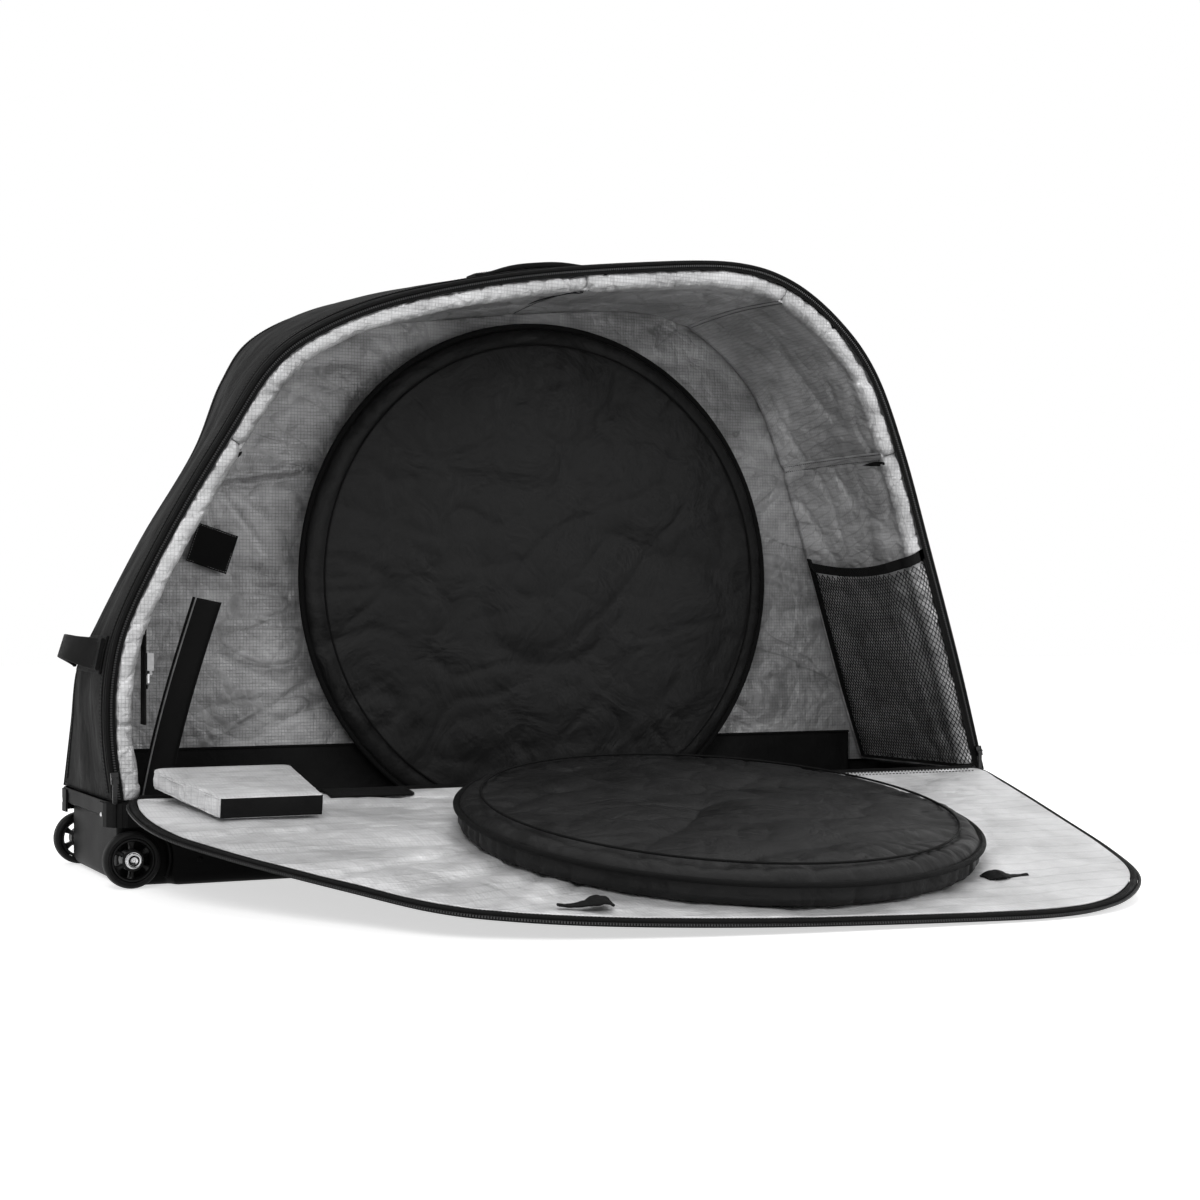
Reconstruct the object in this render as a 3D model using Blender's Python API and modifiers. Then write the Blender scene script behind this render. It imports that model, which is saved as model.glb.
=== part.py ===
"""Soft travel bag for a bicycle, standing open with its front flap on the floor.

Units are metres. +X runs along the bag away from its transport wheels, the opening faces -Y
and +Z is up. The origin is the middle of the tub's flat underside.
"""
import math

import bmesh
import bpy
from mathutils import Matrix, Vector

# Overall size of the soft shell, measured over the piping of the opening
BAG_LENGTH = 1.426
BAG_HEIGHT = 0.903
BAG_DEPTH = 0.317

# Clearances
SEAT_GAP = 0.0003
SOFT_GAP = 0.0008
PANEL_GAP = 0.0030
CUT_OVERRUN = 0.010

# Moulded tub
TUB_HEIGHT = 0.115
TUB_WALL = 0.004
TUB_END_INSET = 0.006
TUB_CORNER_RADIUS = 0.026
TUB_BOTTOM_FILLET = 0.012
TUB_END_SHARE = 0.4
ARCH_RADIUS = 0.050
ARCH_BLEND = 0.007
ARCH_END_INSET = 0.014
ARCH_CORNER_RADIUS = 0.008
END_KICK = 0.020

# Transport wheels
WHEEL_RADIUS = 0.038
WHEEL_WIDTH = 0.024
WHEEL_PROUD = 0.0135
WHEEL_END_DISTANCE = 0.0346
TYRE_THICKNESS = 0.0088
TYRE_SHOULDER = 0.008
HUB_RIM = 0.0032
HUB_WEB = 0.006
HUB_WINDOWS = 6
HUB_WINDOW_EDGE = 0.0012
HUB_WINDOW_SHARE = 0.66
CORE_WALL = 0.003
BEARING_RADIUS = 0.011
BEARING_WIDTH = 0.007
AXLE_RADIUS = 0.004
AXLE_FLANGE_RADIUS = 0.012
AXLE_FLANGE = 0.005
AXLE_HEAD_RADIUS = 0.009
AXLE_HEAD = 0.005
AXLE_SOCKET_RADIUS = 0.003
AXLE_SOCKET_DEPTH = 0.003
RUNNING_GAP = 0.0001
WHEEL_SIDE_GAP = 0.0005

# Corner guards over the wheels
GUARD_THICKNESS = 0.003
GUARD_HEIGHT = 0.032
GUARD_LENGTH = 0.052
GUARD_RIB = 0.0022
GUARD_RIBS = 3
RIVET_RADIUS = 0.0032
RIVET_HEIGHT = 0.0018

# Soft shell
SHELL_THICKNESS = 0.003
WALL_PAD = 0.034
BACK_SKIN = 0.004
BACK_PAD = 0.014
PIPING_RADIUS = 0.003
ZIP_TAPE_WIDTH = 0.009
ZIP_TAPE_THICKNESS = 0.003
PAD_EDGE_RADIUS = 0.009
BAND_HEIGHT = 0.165
BAND_THICKNESS = 0.003
BAND_END_SPACE = 0.070
FLOOR_PAD = 0.006
FLOOR_PAD_SPACE = 0.004
SHELL_BELLY = 0.008

# Front flap
FLAP_THICKNESS = 0.010
FLAP_SKIN = 0.0024
FLAP_BOARD = 0.0035
FLAP_BINDING = 0.0095
FLAP_ZIP_WIDTH = 0.004
FLAP_ZIP_THICKNESS = 0.003
FLAP_EDGE_INSET = 0.012
FLAP_CORNER_INSET = 0.010
FLAP_CORNER_LENGTH = 0.055
HINGE_HEIGHT = 0.118
HINGE_TAPE = 0.0025
HINGE_TAPE_HEIGHT = 0.030
CLOSED_GAP = 0.001
FLOOR_GAP = 0.0005

# Wheel bags
FRONT_BAG_LESS_RADIUS = 0.062
FRONT_BAG_THICKNESS = 0.056
FRONT_BAG_HINGE_SPACE = 0.027
REAR_BAG_FLOOR_SPACE = 0.019
REAR_BAG_HEADROOM = 0.080
REAR_BAG_THICKNESS = 0.050
REAR_BAG_X = 0.045
BAG_EDGE_ROLL = 0.016
BAG_CROWN = 0.008
BAG_PIPING = 0.0035
BAG_SIDES = 48

# Loose pad and trim on the flap
LOOSE_PAD_BACK = 0.185
LOOSE_PAD_FRONT = 0.135
LOOSE_PAD_LENGTH = 0.140
LOOSE_PAD_THICKNESS = 0.029
LOOSE_PAD_END_DISTANCE = 0.151
LOOSE_PAD_SLANT = 0.026
LOOSE_PAD_HINGE_SPACE = 0.009
LOOSE_PAD_STRIP = 0.0015
HOOK_LENGTH = 0.120
HOOK_WIDTH = 0.043
HOOK_THICKNESS = 0.002
HOOK_END_DISTANCE = 0.348
HOOK_SPACE = 0.012
TAB_LENGTH = 0.066
TAB_WIDTH = 0.045
TAB_THICKNESS = 0.003
TAB_TAIL_SHARE = 0.34
TAB_LEFT_DISTANCE = 0.398
TAB_RIGHT_DISTANCE = 0.443
TAB_EDGE_SPACE = 0.162

# Mesh pocket on the right wall
POCKET_MOUTH_DEPTH = 0.022
POCKET_BASE_DEPTH = 0.004
POCKET_BACK_SPACE = 0.014
POCKET_FRONT_SPACE = 0.016
NET_THICKNESS = 0.0012
NET_STRAND = 0.0026
NET_ROWS = 15
NET_COLUMNS = 10
POCKET_BINDING = 0.005
POCKET_BAND_HEIGHT = 0.022
POCKET_BAND_THICKNESS = 0.004

# Straps, buckle and patch inside
FRAME_STRAP_WIDTH = 0.046
FRAME_STRAP_THICKNESS = 0.003
FRAME_STRAP_HEIGHT = 0.385
FRAME_STRAP_END_DISTANCE = 0.073
FRAME_STRAP_TOP_DISTANCE = 0.093
FRAME_STRAP_BOW = 0.010
FRAME_STRAP_DEPTH = 0.1085
STRAP_FOOT_LENGTH = 0.060
BUCKLE_WEB_WIDTH = 0.025
BUCKLE_WEB_THICKNESS = 0.002
BUCKLE_WEB_TOP = 0.345
BUCKLE_WEB_LENGTH = 0.130
BUCKLE_FRONT_DISTANCE = 0.0405
BUCKLE_WIDTH = 0.032
BUCKLE_HEIGHT = 0.024
BUCKLE_DEPTH = 0.009
BUCKLE_CHEEK_SHARE = 0.14
BUCKLE_TOP = 0.312
LEVER_THICKNESS = 0.003
LEVER_LENGTH = 0.026
LEVER_PIN_RADIUS = 0.002
RING_WIRE = 0.0018
RING_HEIGHT = 0.018
PATCH_LENGTH = 0.064
PATCH_WIDTH = 0.060
PATCH_THICKNESS = 0.0012
PATCH_END_DISTANCE = 0.225
PATCH_Z = 0.464
PATCH_TILT = math.radians(-18)

# Handles
END_HANDLE_SPAN = 0.250
END_HANDLE_WIDTH = 0.044
END_HANDLE_Z = 0.309
END_HANDLE_BOW = 0.030
TOP_HANDLE_SPAN = 0.210
TOP_HANDLE_WIDTH = 0.036
TOP_HANDLE_X = -0.025
TOP_HANDLE_BOW = 0.024
HANDLE_THICKNESS = 0.005
HANDLE_BASE = 0.003
HANDLE_RISE_SHARE = 0.86
HANDLE_STEPS = 18

# Zip sliders
SLIDER_WIDTH = 0.010
SLIDER_LENGTH = 0.016
SLIDER_HEIGHT = 0.006
SLIDER_LUG = 0.0024
SLIDER_LUG_LENGTH = 0.003
SLIDER_LUG_GAP = 0.0006
SLIDER_Z = 0.146
SLIDER_TRAVEL = 0.100
PULL_WIDTH = 0.0062
PULL_LENGTH = 0.034
PULL_THICKNESS = 0.0018
PULL_OVER_PIN = 0.0005

# Outline of the opening, left foot to right foot, as shares of half the length and of the
# height. The first and last points stand on the tub.
FRONT_OUTLINE_SHARES = (
    (-0.985, None), (-1.000, 0.221), (-0.997, 0.316), (-0.968, 0.405), (-0.884, 0.539),
    (-0.780, 0.678), (-0.690, 0.787), (-0.586, 0.850), (-0.421, 0.905), (-0.161, 0.955),
    (0.136, 0.988), (0.344, 1.000), (0.484, 0.977), (0.606, 0.915), (0.701, 0.828),
    (0.774, 0.695), (0.843, 0.526), (0.926, 0.313), (0.990, None),
)
# The back panel's outline has rounder upper corners and leans in at the left.
BACK_OUTLINE_SHARES = (
    (-0.985, None), (-0.971, 0.227), (-0.958, 0.316), (-0.914, 0.393), (-0.826, 0.527),
    (-0.717, 0.673), (-0.659, 0.792), (-0.586, 0.872), (-0.421, 0.929), (-0.161, 0.961),
    (0.136, 0.989), (0.344, 0.997), (0.470, 0.972), (0.589, 0.910), (0.683, 0.825),
    (0.755, 0.692), (0.823, 0.526), (0.905, 0.313), (0.982, None),
)
OUTLINE_STEPS = 3
# Where the wall bends in depth, as shares of the bag's depth
DEPTH_SHARES = (0.0, 0.25, 0.5, 0.75, 1.0)
# Where the wall padding is parted, as shares of the run round the opening
PAD_PART_SHARES = (0.0, 5.0 / 18, 9.5 / 18, 12.0 / 18, 15.0 / 18, 1.0)
PAD_NAMES = ("left", "shoulder", "top", "right_upper", "right_lower")
POCKET_TOP_SHARE = 16.0 / 18

FRONT_Y = -BAG_DEPTH / 2
BACK_Y = BAG_DEPTH / 2
HINGE_Y = FRONT_Y - PIPING_RADIUS - CLOSED_GAP - FLAP_THICKNESS / 2
HINGE_WELT_RADIUS = FRONT_Y - SEAT_GAP - HINGE_TAPE - SEAT_GAP - HINGE_Y
FLAP_START = HINGE_WELT_RADIUS + SEAT_GAP
FLAP_REACH = BAG_HEIGHT - HINGE_HEIGHT - FLAP_EDGE_INSET
FLAP_TILT = math.asin((HINGE_HEIGHT - FLAP_THICKNESS / 2 - FLOOR_GAP) / FLAP_REACH)
BAG_LEFT = -BAG_LENGTH / 2
BAG_RIGHT = BAG_LENGTH / 2
TUB_LEFT = BAG_LEFT + TUB_END_INSET
TUB_RIGHT = BAG_RIGHT - TUB_END_INSET
WHEEL_X = BAG_LEFT + WHEEL_END_DISTANCE
WHEEL_Y = BAG_DEPTH / 2 + WHEEL_PROUD - WHEEL_WIDTH / 2
BACK_PAD_Y = BACK_Y - BACK_SKIN - SEAT_GAP - BACK_PAD
PAD_INNER = SHELL_THICKNESS + SOFT_GAP + WALL_PAD
REAR_BAG_SPACE = REAR_BAG_FLOOR_SPACE + REAR_BAG_HEADROOM
REAR_BAG_RADIUS = (BAG_HEIGHT - TUB_WALL - REAR_BAG_SPACE) / 2
REAR_BAG_Z = TUB_WALL + REAR_BAG_FLOOR_SPACE + REAR_BAG_RADIUS
FRONT_BAG_RADIUS = REAR_BAG_RADIUS - FRONT_BAG_LESS_RADIUS
LOOSE_PAD_X = BAG_LEFT + LOOSE_PAD_END_DISTANCE
HOOK_X = BAG_LEFT + HOOK_END_DISTANCE
TAB_XS = (BAG_LEFT + TAB_LEFT_DISTANCE, BAG_RIGHT - TAB_RIGHT_DISTANCE)
FRAME_STRAP_FOOT_X = BAG_LEFT + FRAME_STRAP_END_DISTANCE
FRAME_STRAP_Y = FRONT_Y + FRAME_STRAP_DEPTH
BUCKLE_Y = FRONT_Y + BUCKLE_FRONT_DISTANCE
PATCH_X = BAG_LEFT + PATCH_END_DISTANCE


def clear_scene():
    """Remove every object that the file opens with."""
    for old in list(bpy.data.objects):
        bpy.data.objects.remove(old, do_unlink=True)


def new_collection(name):
    """Return a new collection linked to the scene."""
    collection = bpy.data.collections.new(name)
    bpy.context.scene.collection.children.link(collection)
    return collection


def material(name, color, roughness, metallic=0.0):
    """Return a Principled material."""
    made = bpy.data.materials.new(name)
    made.use_nodes = True
    shader = made.node_tree.nodes["Principled BSDF"]
    shader.inputs["Base Color"].default_value = (*color, 1.0)
    shader.inputs["Roughness"].default_value = roughness
    shader.inputs["Metallic"].default_value = metallic
    return made


clear_scene()
BAG = new_collection("bike_travel_bag")
CUTTERS = new_collection("cutters")

BLACK_NYLON = (0.022, 0.022, 0.024)
BLACK_TRIM = (0.014, 0.014, 0.015)
BLACK_PLASTIC = (0.020, 0.020, 0.021)
SILVER_LINING = (0.620, 0.620, 0.630)
STEEL = (0.560, 0.560, 0.550)


def place(name, data, color, roughness, metallic=0.0, parent=None):
    """Make the named object for one node and link it to the bag."""
    made = bpy.data.objects.new(name, data)
    made.data.materials.append(material(name + "_finish", color, roughness, metallic))
    BAG.objects.link(made)
    if parent is not None:
        made.parent = parent
    return made


def empty_at(name, location, rotation=(0.0, 0.0, 0.0)):
    """Return an empty that carries the pieces of a moving body."""
    made = bpy.data.objects.new(name, None)
    made.location = location
    made.rotation_euler = rotation
    BAG.objects.link(made)
    return made


def mesh_from(bm, name, smooth_angle=None):
    """Turn a bmesh into a mesh, shaded smooth where an angle is given."""
    bmesh.ops.recalc_face_normals(bm, faces=bm.faces)
    if all(edge.is_manifold for edge in bm.edges) and bm.calc_volume(signed=True) < 0:
        bmesh.ops.reverse_faces(bm, faces=bm.faces)
    mesh = bpy.data.meshes.new(name)
    bm.to_mesh(mesh)
    bm.free()
    if smooth_angle is not None:
        mesh.shade_smooth()
        mesh.set_sharp_from_angle(angle=smooth_angle)
    return mesh


def bevel(made, width, segments=1, angle=40.0):
    """Round the sharp edges of an object."""
    modifier = made.modifiers.new("edges", "BEVEL")
    modifier.width = width
    modifier.segments = segments
    modifier.limit_method = "ANGLE"
    modifier.angle_limit = math.radians(angle)
    return modifier


def box(name, low, high, color, roughness, metallic=0.0, parent=None, edge=0.0):
    """Add a box between two corners, with its edges rounded if asked."""
    bm = bmesh.new()
    bmesh.ops.create_cube(bm, size=1.0)
    size = Vector(high) - Vector(low)
    middle = (Vector(high) + Vector(low)) / 2
    bmesh.ops.scale(bm, vec=size, verts=bm.verts)
    made = place(name, mesh_from(bm, name), color, roughness, metallic, parent)
    made.location = middle
    if edge:
        bevel(made, edge, segments=2)
    return made


def flat_piece(name, outlines, thickness, color, roughness, metallic=0.0, parent=None):
    """Add a flat piece: closed outlines in its own XY plane, thickened along Z."""
    curve = bpy.data.curves.new(name, "CURVE")
    curve.dimensions = "2D"
    curve.fill_mode = "BOTH"
    curve.extrude = thickness / 2
    for outline in outlines:
        spline = curve.splines.new("POLY")
        spline.points.add(len(outline) - 1)
        for point, (x, y) in zip(spline.points, outline):
            point.co = (x, y, 0.0, 1.0)
        spline.use_cyclic_u = True
    return place(name, curve, color, roughness, metallic, parent)


def tube(name, points, radius, color, roughness, metallic=0.0, parent=None, cyclic=False,
         resolution=1):
    """Add a round tube along a list of points."""
    curve = bpy.data.curves.new(name, "CURVE")
    curve.dimensions = "3D"
    curve.bevel_depth = radius
    curve.bevel_resolution = resolution
    curve.use_fill_caps = not cyclic
    spline = curve.splines.new("POLY")
    spline.points.add(len(points) - 1)
    for point, co in zip(spline.points, points):
        point.co = (*co, 1.0)
    spline.use_cyclic_u = cyclic
    return place(name, curve, color, roughness, metallic, parent)


def turned(name, profile, color, roughness, metallic=0.0, parent=None, steps=20,
           closed=False):
    """Add a turned piece: a profile of (radius, height) points, top to bottom, about Z."""
    mesh = bpy.data.meshes.new(name)
    count = len(profile)
    edges = [(i, i + 1) for i in range(count - 1)]
    if closed:
        edges.append((count - 1, 0))
    mesh.from_pydata([(r, 0.0, z) for r, z in profile], edges, [])
    made = place(name, mesh, color, roughness, metallic, parent)
    screw = made.modifiers.new("turn", "SCREW")
    screw.axis = "Z"
    screw.angle = math.tau
    screw.steps = steps
    screw.render_steps = steps
    screw.use_merge_vertices = True
    screw.merge_threshold = 0.00001
    screw.use_smooth_shade = True
    return made


def cutter(name, mesh, matrix):
    """Add a hidden cutter in the cutters' collection."""
    made = bpy.data.objects.new(name, mesh)
    made.matrix_world = matrix
    made.hide_render = True
    made.display_type = "WIRE"
    CUTTERS.objects.link(made)
    return made


def cut(made, tool):
    """Cut an object with a cutter."""
    modifier = made.modifiers.new("cut_" + tool.name, "BOOLEAN")
    modifier.operation = "DIFFERENCE"
    modifier.solver = "EXACT"
    modifier.object = tool


def smooth_path(points, steps):
    """Return points on a smooth curve through the given (x, z) points."""
    ends = [2 * Vector(points[0]) - Vector(points[1])]
    tail = [2 * Vector(points[-1]) - Vector(points[-2])]
    knots = ends + [Vector(p) for p in points] + tail
    path = []
    for i in range(1, len(knots) - 2):
        before, start, end, after = knots[i - 1:i + 3]
        for step in range(steps):
            t = step / steps
            path.append(0.5 * (2 * start + (end - before) * t
                               + (2 * before - 5 * start + 4 * end - after) * t * t
                               + (3 * start - before - 3 * end + after) * t ** 3))
    path.append(knots[-2])
    return path


def outline(shares):
    """Return the run of one outline as (x, z) points on the tub's rim and above it."""
    foot = TUB_HEIGHT + SEAT_GAP
    points = [(x * BAG_LENGTH / 2, foot if z is None else z * BAG_HEIGHT) for x, z in shares]
    return smooth_path(points, OUTLINE_STEPS)


FRONT_RUN = outline(FRONT_OUTLINE_SHARES)
BACK_RUN = outline(BACK_OUTLINE_SHARES)
RUN_STEPS = len(FRONT_RUN) - 1


def run_normal(run, index):
    """Return the outward normal of a run at one of its points, level at both feet."""
    if index == 0:
        return Vector((-1.0, 0.0))
    if index == len(run) - 1:
        return Vector((1.0, 0.0))
    before = run[max(index - 1, 0)]
    after = run[min(index + 1, len(run) - 1)]
    along = (after - before).normalized()
    return Vector((-along.y, along.x))


def wall_at(index, y, inset):
    """Return the wall's point at one step of the run, at a depth and an inset."""
    share = (y - FRONT_Y) / BAG_DEPTH
    base = FRONT_RUN[index].lerp(BACK_RUN[index], share)
    normal = run_normal(FRONT_RUN, index).lerp(run_normal(BACK_RUN, index), share)
    foot_share = min(index, RUN_STEPS - index, OUTLINE_STEPS * 2) / (OUTLINE_STEPS * 2)
    point = base + normal.normalized() * (belly_at(share) * foot_share - inset)
    return Vector((point.x, y, point.y))


def belly_at(share):
    """Return how far the wall swells at a share of the depth, straight between its bends."""
    spot = min(max(share, 0.0), 1.0) * (len(DEPTH_SHARES) - 1)
    low = min(int(spot), len(DEPTH_SHARES) - 2)
    swell = [SHELL_BELLY * math.sin(math.pi * s) for s in DEPTH_SHARES[low:low + 2]]
    return between(swell, spot - low)


def wall_point(share, y, inset):
    """Return the wall's point at a share of the run round the opening."""
    place_on_run = min(max(share, 0.0), 1.0) * RUN_STEPS
    index = min(int(place_on_run), RUN_STEPS - 1)
    low = wall_at(index, y, inset)
    high = wall_at(index + 1, y, inset)
    return low.lerp(high, place_on_run - index)


def share_at_height(z, right=False):
    """Return the share of the run where the opening's outline reaches a height."""
    steps = range(RUN_STEPS)
    if right:
        steps = reversed(steps)
    for index in steps:
        low = FRONT_RUN[index].y
        high = FRONT_RUN[index + 1].y
        if min(low, high) <= z <= max(low, high):
            return (index + (z - low) / (high - low)) / RUN_STEPS
    return 1.0 if right else 0.0


def run_gap(share, gap):
    """Return the share of the run that a gap takes up at a place."""
    step = 1.0 / RUN_STEPS
    start = min(share, 1.0 - step)
    length = (wall_point(start + step, FRONT_Y, 0.0) - wall_point(start, FRONT_Y, 0.0)).length
    return gap / length * step


def slab(columns, rows):
    """Return a closed unit slab with its faces split along X and Y."""
    bm = bmesh.new()
    bmesh.ops.create_grid(bm, x_segments=columns, y_segments=rows, size=0.5)
    result = bmesh.ops.extrude_face_region(bm, geom=bm.faces[:], use_keep_orig=True)
    raised = [v for v in result["geom"] if isinstance(v, bmesh.types.BMVert)]
    bmesh.ops.translate(bm, vec=(0.0, 0.0, 1.0), verts=raised)
    bmesh.ops.translate(bm, vec=(0.5, 0.5, 0.0), verts=bm.verts)
    return bm


def between(pair, share):
    """Return the value at a share of the way between two ends."""
    return pair[0] + (pair[1] - pair[0]) * share


def stations(start, end, marks, least):
    """Return a start, the marks that lie between it and an end, and the end."""
    return [start] + [m for m in marks if start + least < m < end - least] + [end]


def wall_piece(name, run, ys, outer, inner, color, roughness):
    """Add a solid that follows the wall's own bends. outer and inner are its insets."""
    step = 1.0 / RUN_STEPS
    shares = stations(*run, [i * step for i in range(RUN_STEPS + 1)], step / 4)
    depths = stations(*ys, [FRONT_Y + BAG_DEPTH * share for share in DEPTH_SHARES],
                      BAG_DEPTH * step)
    bm = slab(len(shares) - 1, len(depths) - 1)
    for vert in bm.verts:
        u = round(vert.co.x * (len(shares) - 1))
        v = round(vert.co.y * (len(depths) - 1))
        along = (shares[u] - run[0]) / (run[1] - run[0])
        inset = between((between(outer, along), between(inner, along)), vert.co.z)
        vert.co = wall_point(shares[u], depths[v], inset)
    return place(name, mesh_from(bm, name, math.radians(35)), color, roughness)


def columns_for(run):
    """Return how many columns keep a wall piece near the run's own steps."""
    return max(1, round((run[1] - run[0]) * RUN_STEPS))


def tub_ring(z, shrink, notch):
    """Return one plan ring of the tub, with the wheel notches if they reach this height."""
    left = TUB_LEFT + shrink
    right = TUB_RIGHT - shrink
    half = BAG_DEPTH / 2 - shrink
    radius = TUB_CORNER_RADIUS - shrink
    # The arch is round over the axle and straight below it.
    rise = ARCH_RADIUS ** 2 - max(z - WHEEL_RADIUS, 0.0) ** 2
    step_x = WHEEL_X + math.sqrt(max(rise, 0.0)) + shrink
    near, turn = half, radius
    if notch:
        near = WHEEL_Y - WHEEL_WIDTH / 2 - AXLE_FLANGE - WHEEL_SIDE_GAP - SEAT_GAP - shrink
        left = TUB_LEFT + ARCH_END_INSET + max(shrink, kick_at(z))
        turn = ARCH_CORNER_RADIUS
    front = [(left, -near * TUB_END_SHARE)]
    front += corner((left + turn, -near + turn), turn, 180)
    front += [(step_x, -near), (step_x + ARCH_BLEND, -half)]
    front += corner((right - radius, -half + radius), radius, 270)
    front += [(right, -half * TUB_END_SHARE)]
    back = [(x, -y) for x, y in reversed(front)]
    return [Vector((x, y, z)) for x, y in front + back]


def kick_at(z):
    """Return how far the tub's left end is drawn in at a height, where its underside rises."""
    low = 1.0 - min(z / END_KICK, 1.0)
    return END_KICK * (1.0 - math.sqrt(1.0 - low * low))


def corner(centre, radius, start, steps=3):
    """Return the points of a quarter round, counter-clockwise from a start angle."""
    points = []
    for i in range(steps + 1):
        angle = math.radians(start + 90.0 * i / steps)
        points.append((centre[0] + radius * math.cos(angle), centre[1] + radius * math.sin(angle)))
    return points


def base_tub():
    """Moulded tub, open at the top, with a wheel arch at each left corner."""
    fillet = TUB_BOTTOM_FILLET
    arch_top = WHEEL_RADIUS + ARCH_RADIUS
    heights = [0.0, fillet * 0.3, fillet, END_KICK, WHEEL_RADIUS,
               WHEEL_RADIUS + ARCH_RADIUS * 0.5, WHEEL_RADIUS + ARCH_RADIUS * 0.8,
               arch_top - fillet * 0.1]
    shrinks = [fillet, fillet * 0.3] + [0.0] * (len(heights) - 2)
    rings = [tub_ring(z, s, True) for z, s in zip(heights, shrinks)]
    rings.append(tub_ring(arch_top + ARCH_BLEND, 0.0, False))
    rings.append(tub_ring(TUB_HEIGHT, 0.0, False))
    bm = bmesh.new()
    loops = [[bm.verts.new(co) for co in ring] for ring in rings]
    count = len(loops[0])
    for low, high in zip(loops, loops[1:]):
        for i in range(count):
            j = (i + 1) % count
            bm.faces.new((low[i], low[j], high[j], high[i]))
    bm.faces.new(list(reversed(loops[0])))
    made = place("base_tub", mesh_from(bm, "base_tub", math.radians(35)), BLACK_PLASTIC, 0.45)
    shell = made.modifiers.new("wall", "SOLIDIFY")
    shell.thickness = TUB_WALL
    shell.offset = -1.0
    shell.use_even_offset = True
    return made


def floor_pad():
    """Padded mat on the tub's floor, clear of the wheel arches."""
    low_z = TUB_WALL + SEAT_GAP
    left = WHEEL_X + ARCH_RADIUS + ARCH_BLEND + TUB_BOTTOM_FILLET + FLOOR_PAD_SPACE
    right = TUB_RIGHT - TUB_WALL - TUB_BOTTOM_FILLET - FLOOR_PAD_SPACE
    half = BAG_DEPTH / 2 - TUB_WALL - TUB_BOTTOM_FILLET - FLOOR_PAD_SPACE
    return box("floor_pad", (left, -half, low_z), (right, half, low_z + FLOOR_PAD),
               SILVER_LINING, 0.5)


def corner_guards():
    """Riveted guards that wrap the tub's upper left corners."""
    radius = TUB_CORNER_RADIUS
    left = TUB_LEFT - SEAT_GAP
    half = BAG_DEPTH / 2 + SEAT_GAP
    inner = [(left, -half + GUARD_LENGTH)]
    inner += corner((left + radius + SEAT_GAP, -half + radius + SEAT_GAP), radius + SEAT_GAP, 180)
    inner += [(left + GUARD_LENGTH, -half)]
    outer = [(left + GUARD_LENGTH, -half - GUARD_THICKNESS)]
    outer += ribbed_corner((left + radius, -half + radius), radius + GUARD_THICKNESS)
    outer += [(left - GUARD_THICKNESS, -half + GUARD_LENGTH)]
    z = TUB_HEIGHT - GUARD_HEIGHT / 2 - GUARD_RIB
    for side, name in ((1.0, "corner_guard_front"), (-1.0, "corner_guard_rear")):
        points = [(x, y * side) for x, y in inner + outer]
        made = flat_piece(name, [points], GUARD_HEIGHT, BLACK_PLASTIC, 0.35)
        made.location = (0.0, 0.0, z)
    return z


def ribbed_corner(centre, radius):
    """Return a guard's outer corner, from its side to its end, with upright ribs on its side."""
    pitch = 45.0 / GUARD_RIBS
    spots = [(270.0, 0.0)]
    for i in range(GUARD_RIBS):
        middle = 270.0 - pitch * (i + 0.5)
        near, far = middle + pitch * 0.22, middle - pitch * 0.22
        spots += [(near, 0.0), (near, GUARD_RIB), (far, GUARD_RIB), (far, 0.0)]
    spots += [(225.0, 0.0), (202.5, 0.0), (180.0, 0.0)]
    points = []
    for degrees, lift in spots:
        angle = math.radians(degrees)
        points.append((centre[0] + (radius + lift) * math.cos(angle),
                       centre[1] + (radius + lift) * math.sin(angle)))
    return points


def guard_rivets(z):
    """One domed rivet on the end face of each guard."""
    face = TUB_LEFT - SEAT_GAP * 2 - GUARD_THICKNESS
    y = BAG_DEPTH / 2 - TUB_CORNER_RADIUS - RIVET_RADIUS * 2
    for side, name in ((-1.0, "guard_rivet_front"), (1.0, "guard_rivet_rear")):
        profile = [(0.0, RIVET_HEIGHT), (RIVET_RADIUS * 0.6, RIVET_HEIGHT * 0.9),
                   (RIVET_RADIUS, RIVET_HEIGHT * 0.3), (RIVET_RADIUS, 0.0), (0.0, 0.0)]
        made = turned(name, profile, STEEL, 0.3, 1.0, steps=16)
        made.location = (face, side * y, z)
        made.rotation_euler = (0.0, -math.pi / 2, 0.0)


def transport_wheel(label, side):
    """One transport wheel with its hub, bearings and axle bolt. side is -1 in front."""
    centre = (WHEEL_X, side * WHEEL_Y, WHEEL_RADIUS)
    # Local +Z points outward from the bag, along the axle.
    turn = (math.pi / 2, 0.0, 0.0) if side < 0 else (-math.pi / 2, 0.0, 0.0)
    spin = empty_at("wheel_spin_" + label, centre, turn)
    half = WHEEL_WIDTH / 2
    tyre_in = WHEEL_RADIUS - TYRE_THICKNESS
    shoulder = TYRE_SHOULDER
    tread = []
    for i in range(7):
        angle = math.pi / 2 - math.pi * i / 6
        tread.append((WHEEL_RADIUS - shoulder + shoulder * math.cos(angle), half * math.sin(angle)))
    profile = [(tyre_in, half)] + tread + [(tyre_in, -half)]
    turned("tyre_" + label, profile, (0.018, 0.018, 0.018), 0.55, parent=spin, closed=True)
    hub_of_wheel(label, spin, tyre_in - SEAT_GAP, half)
    bearing_of_wheel(label, spin, half)
    axle_bolt(label, centre, turn, half)


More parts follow.
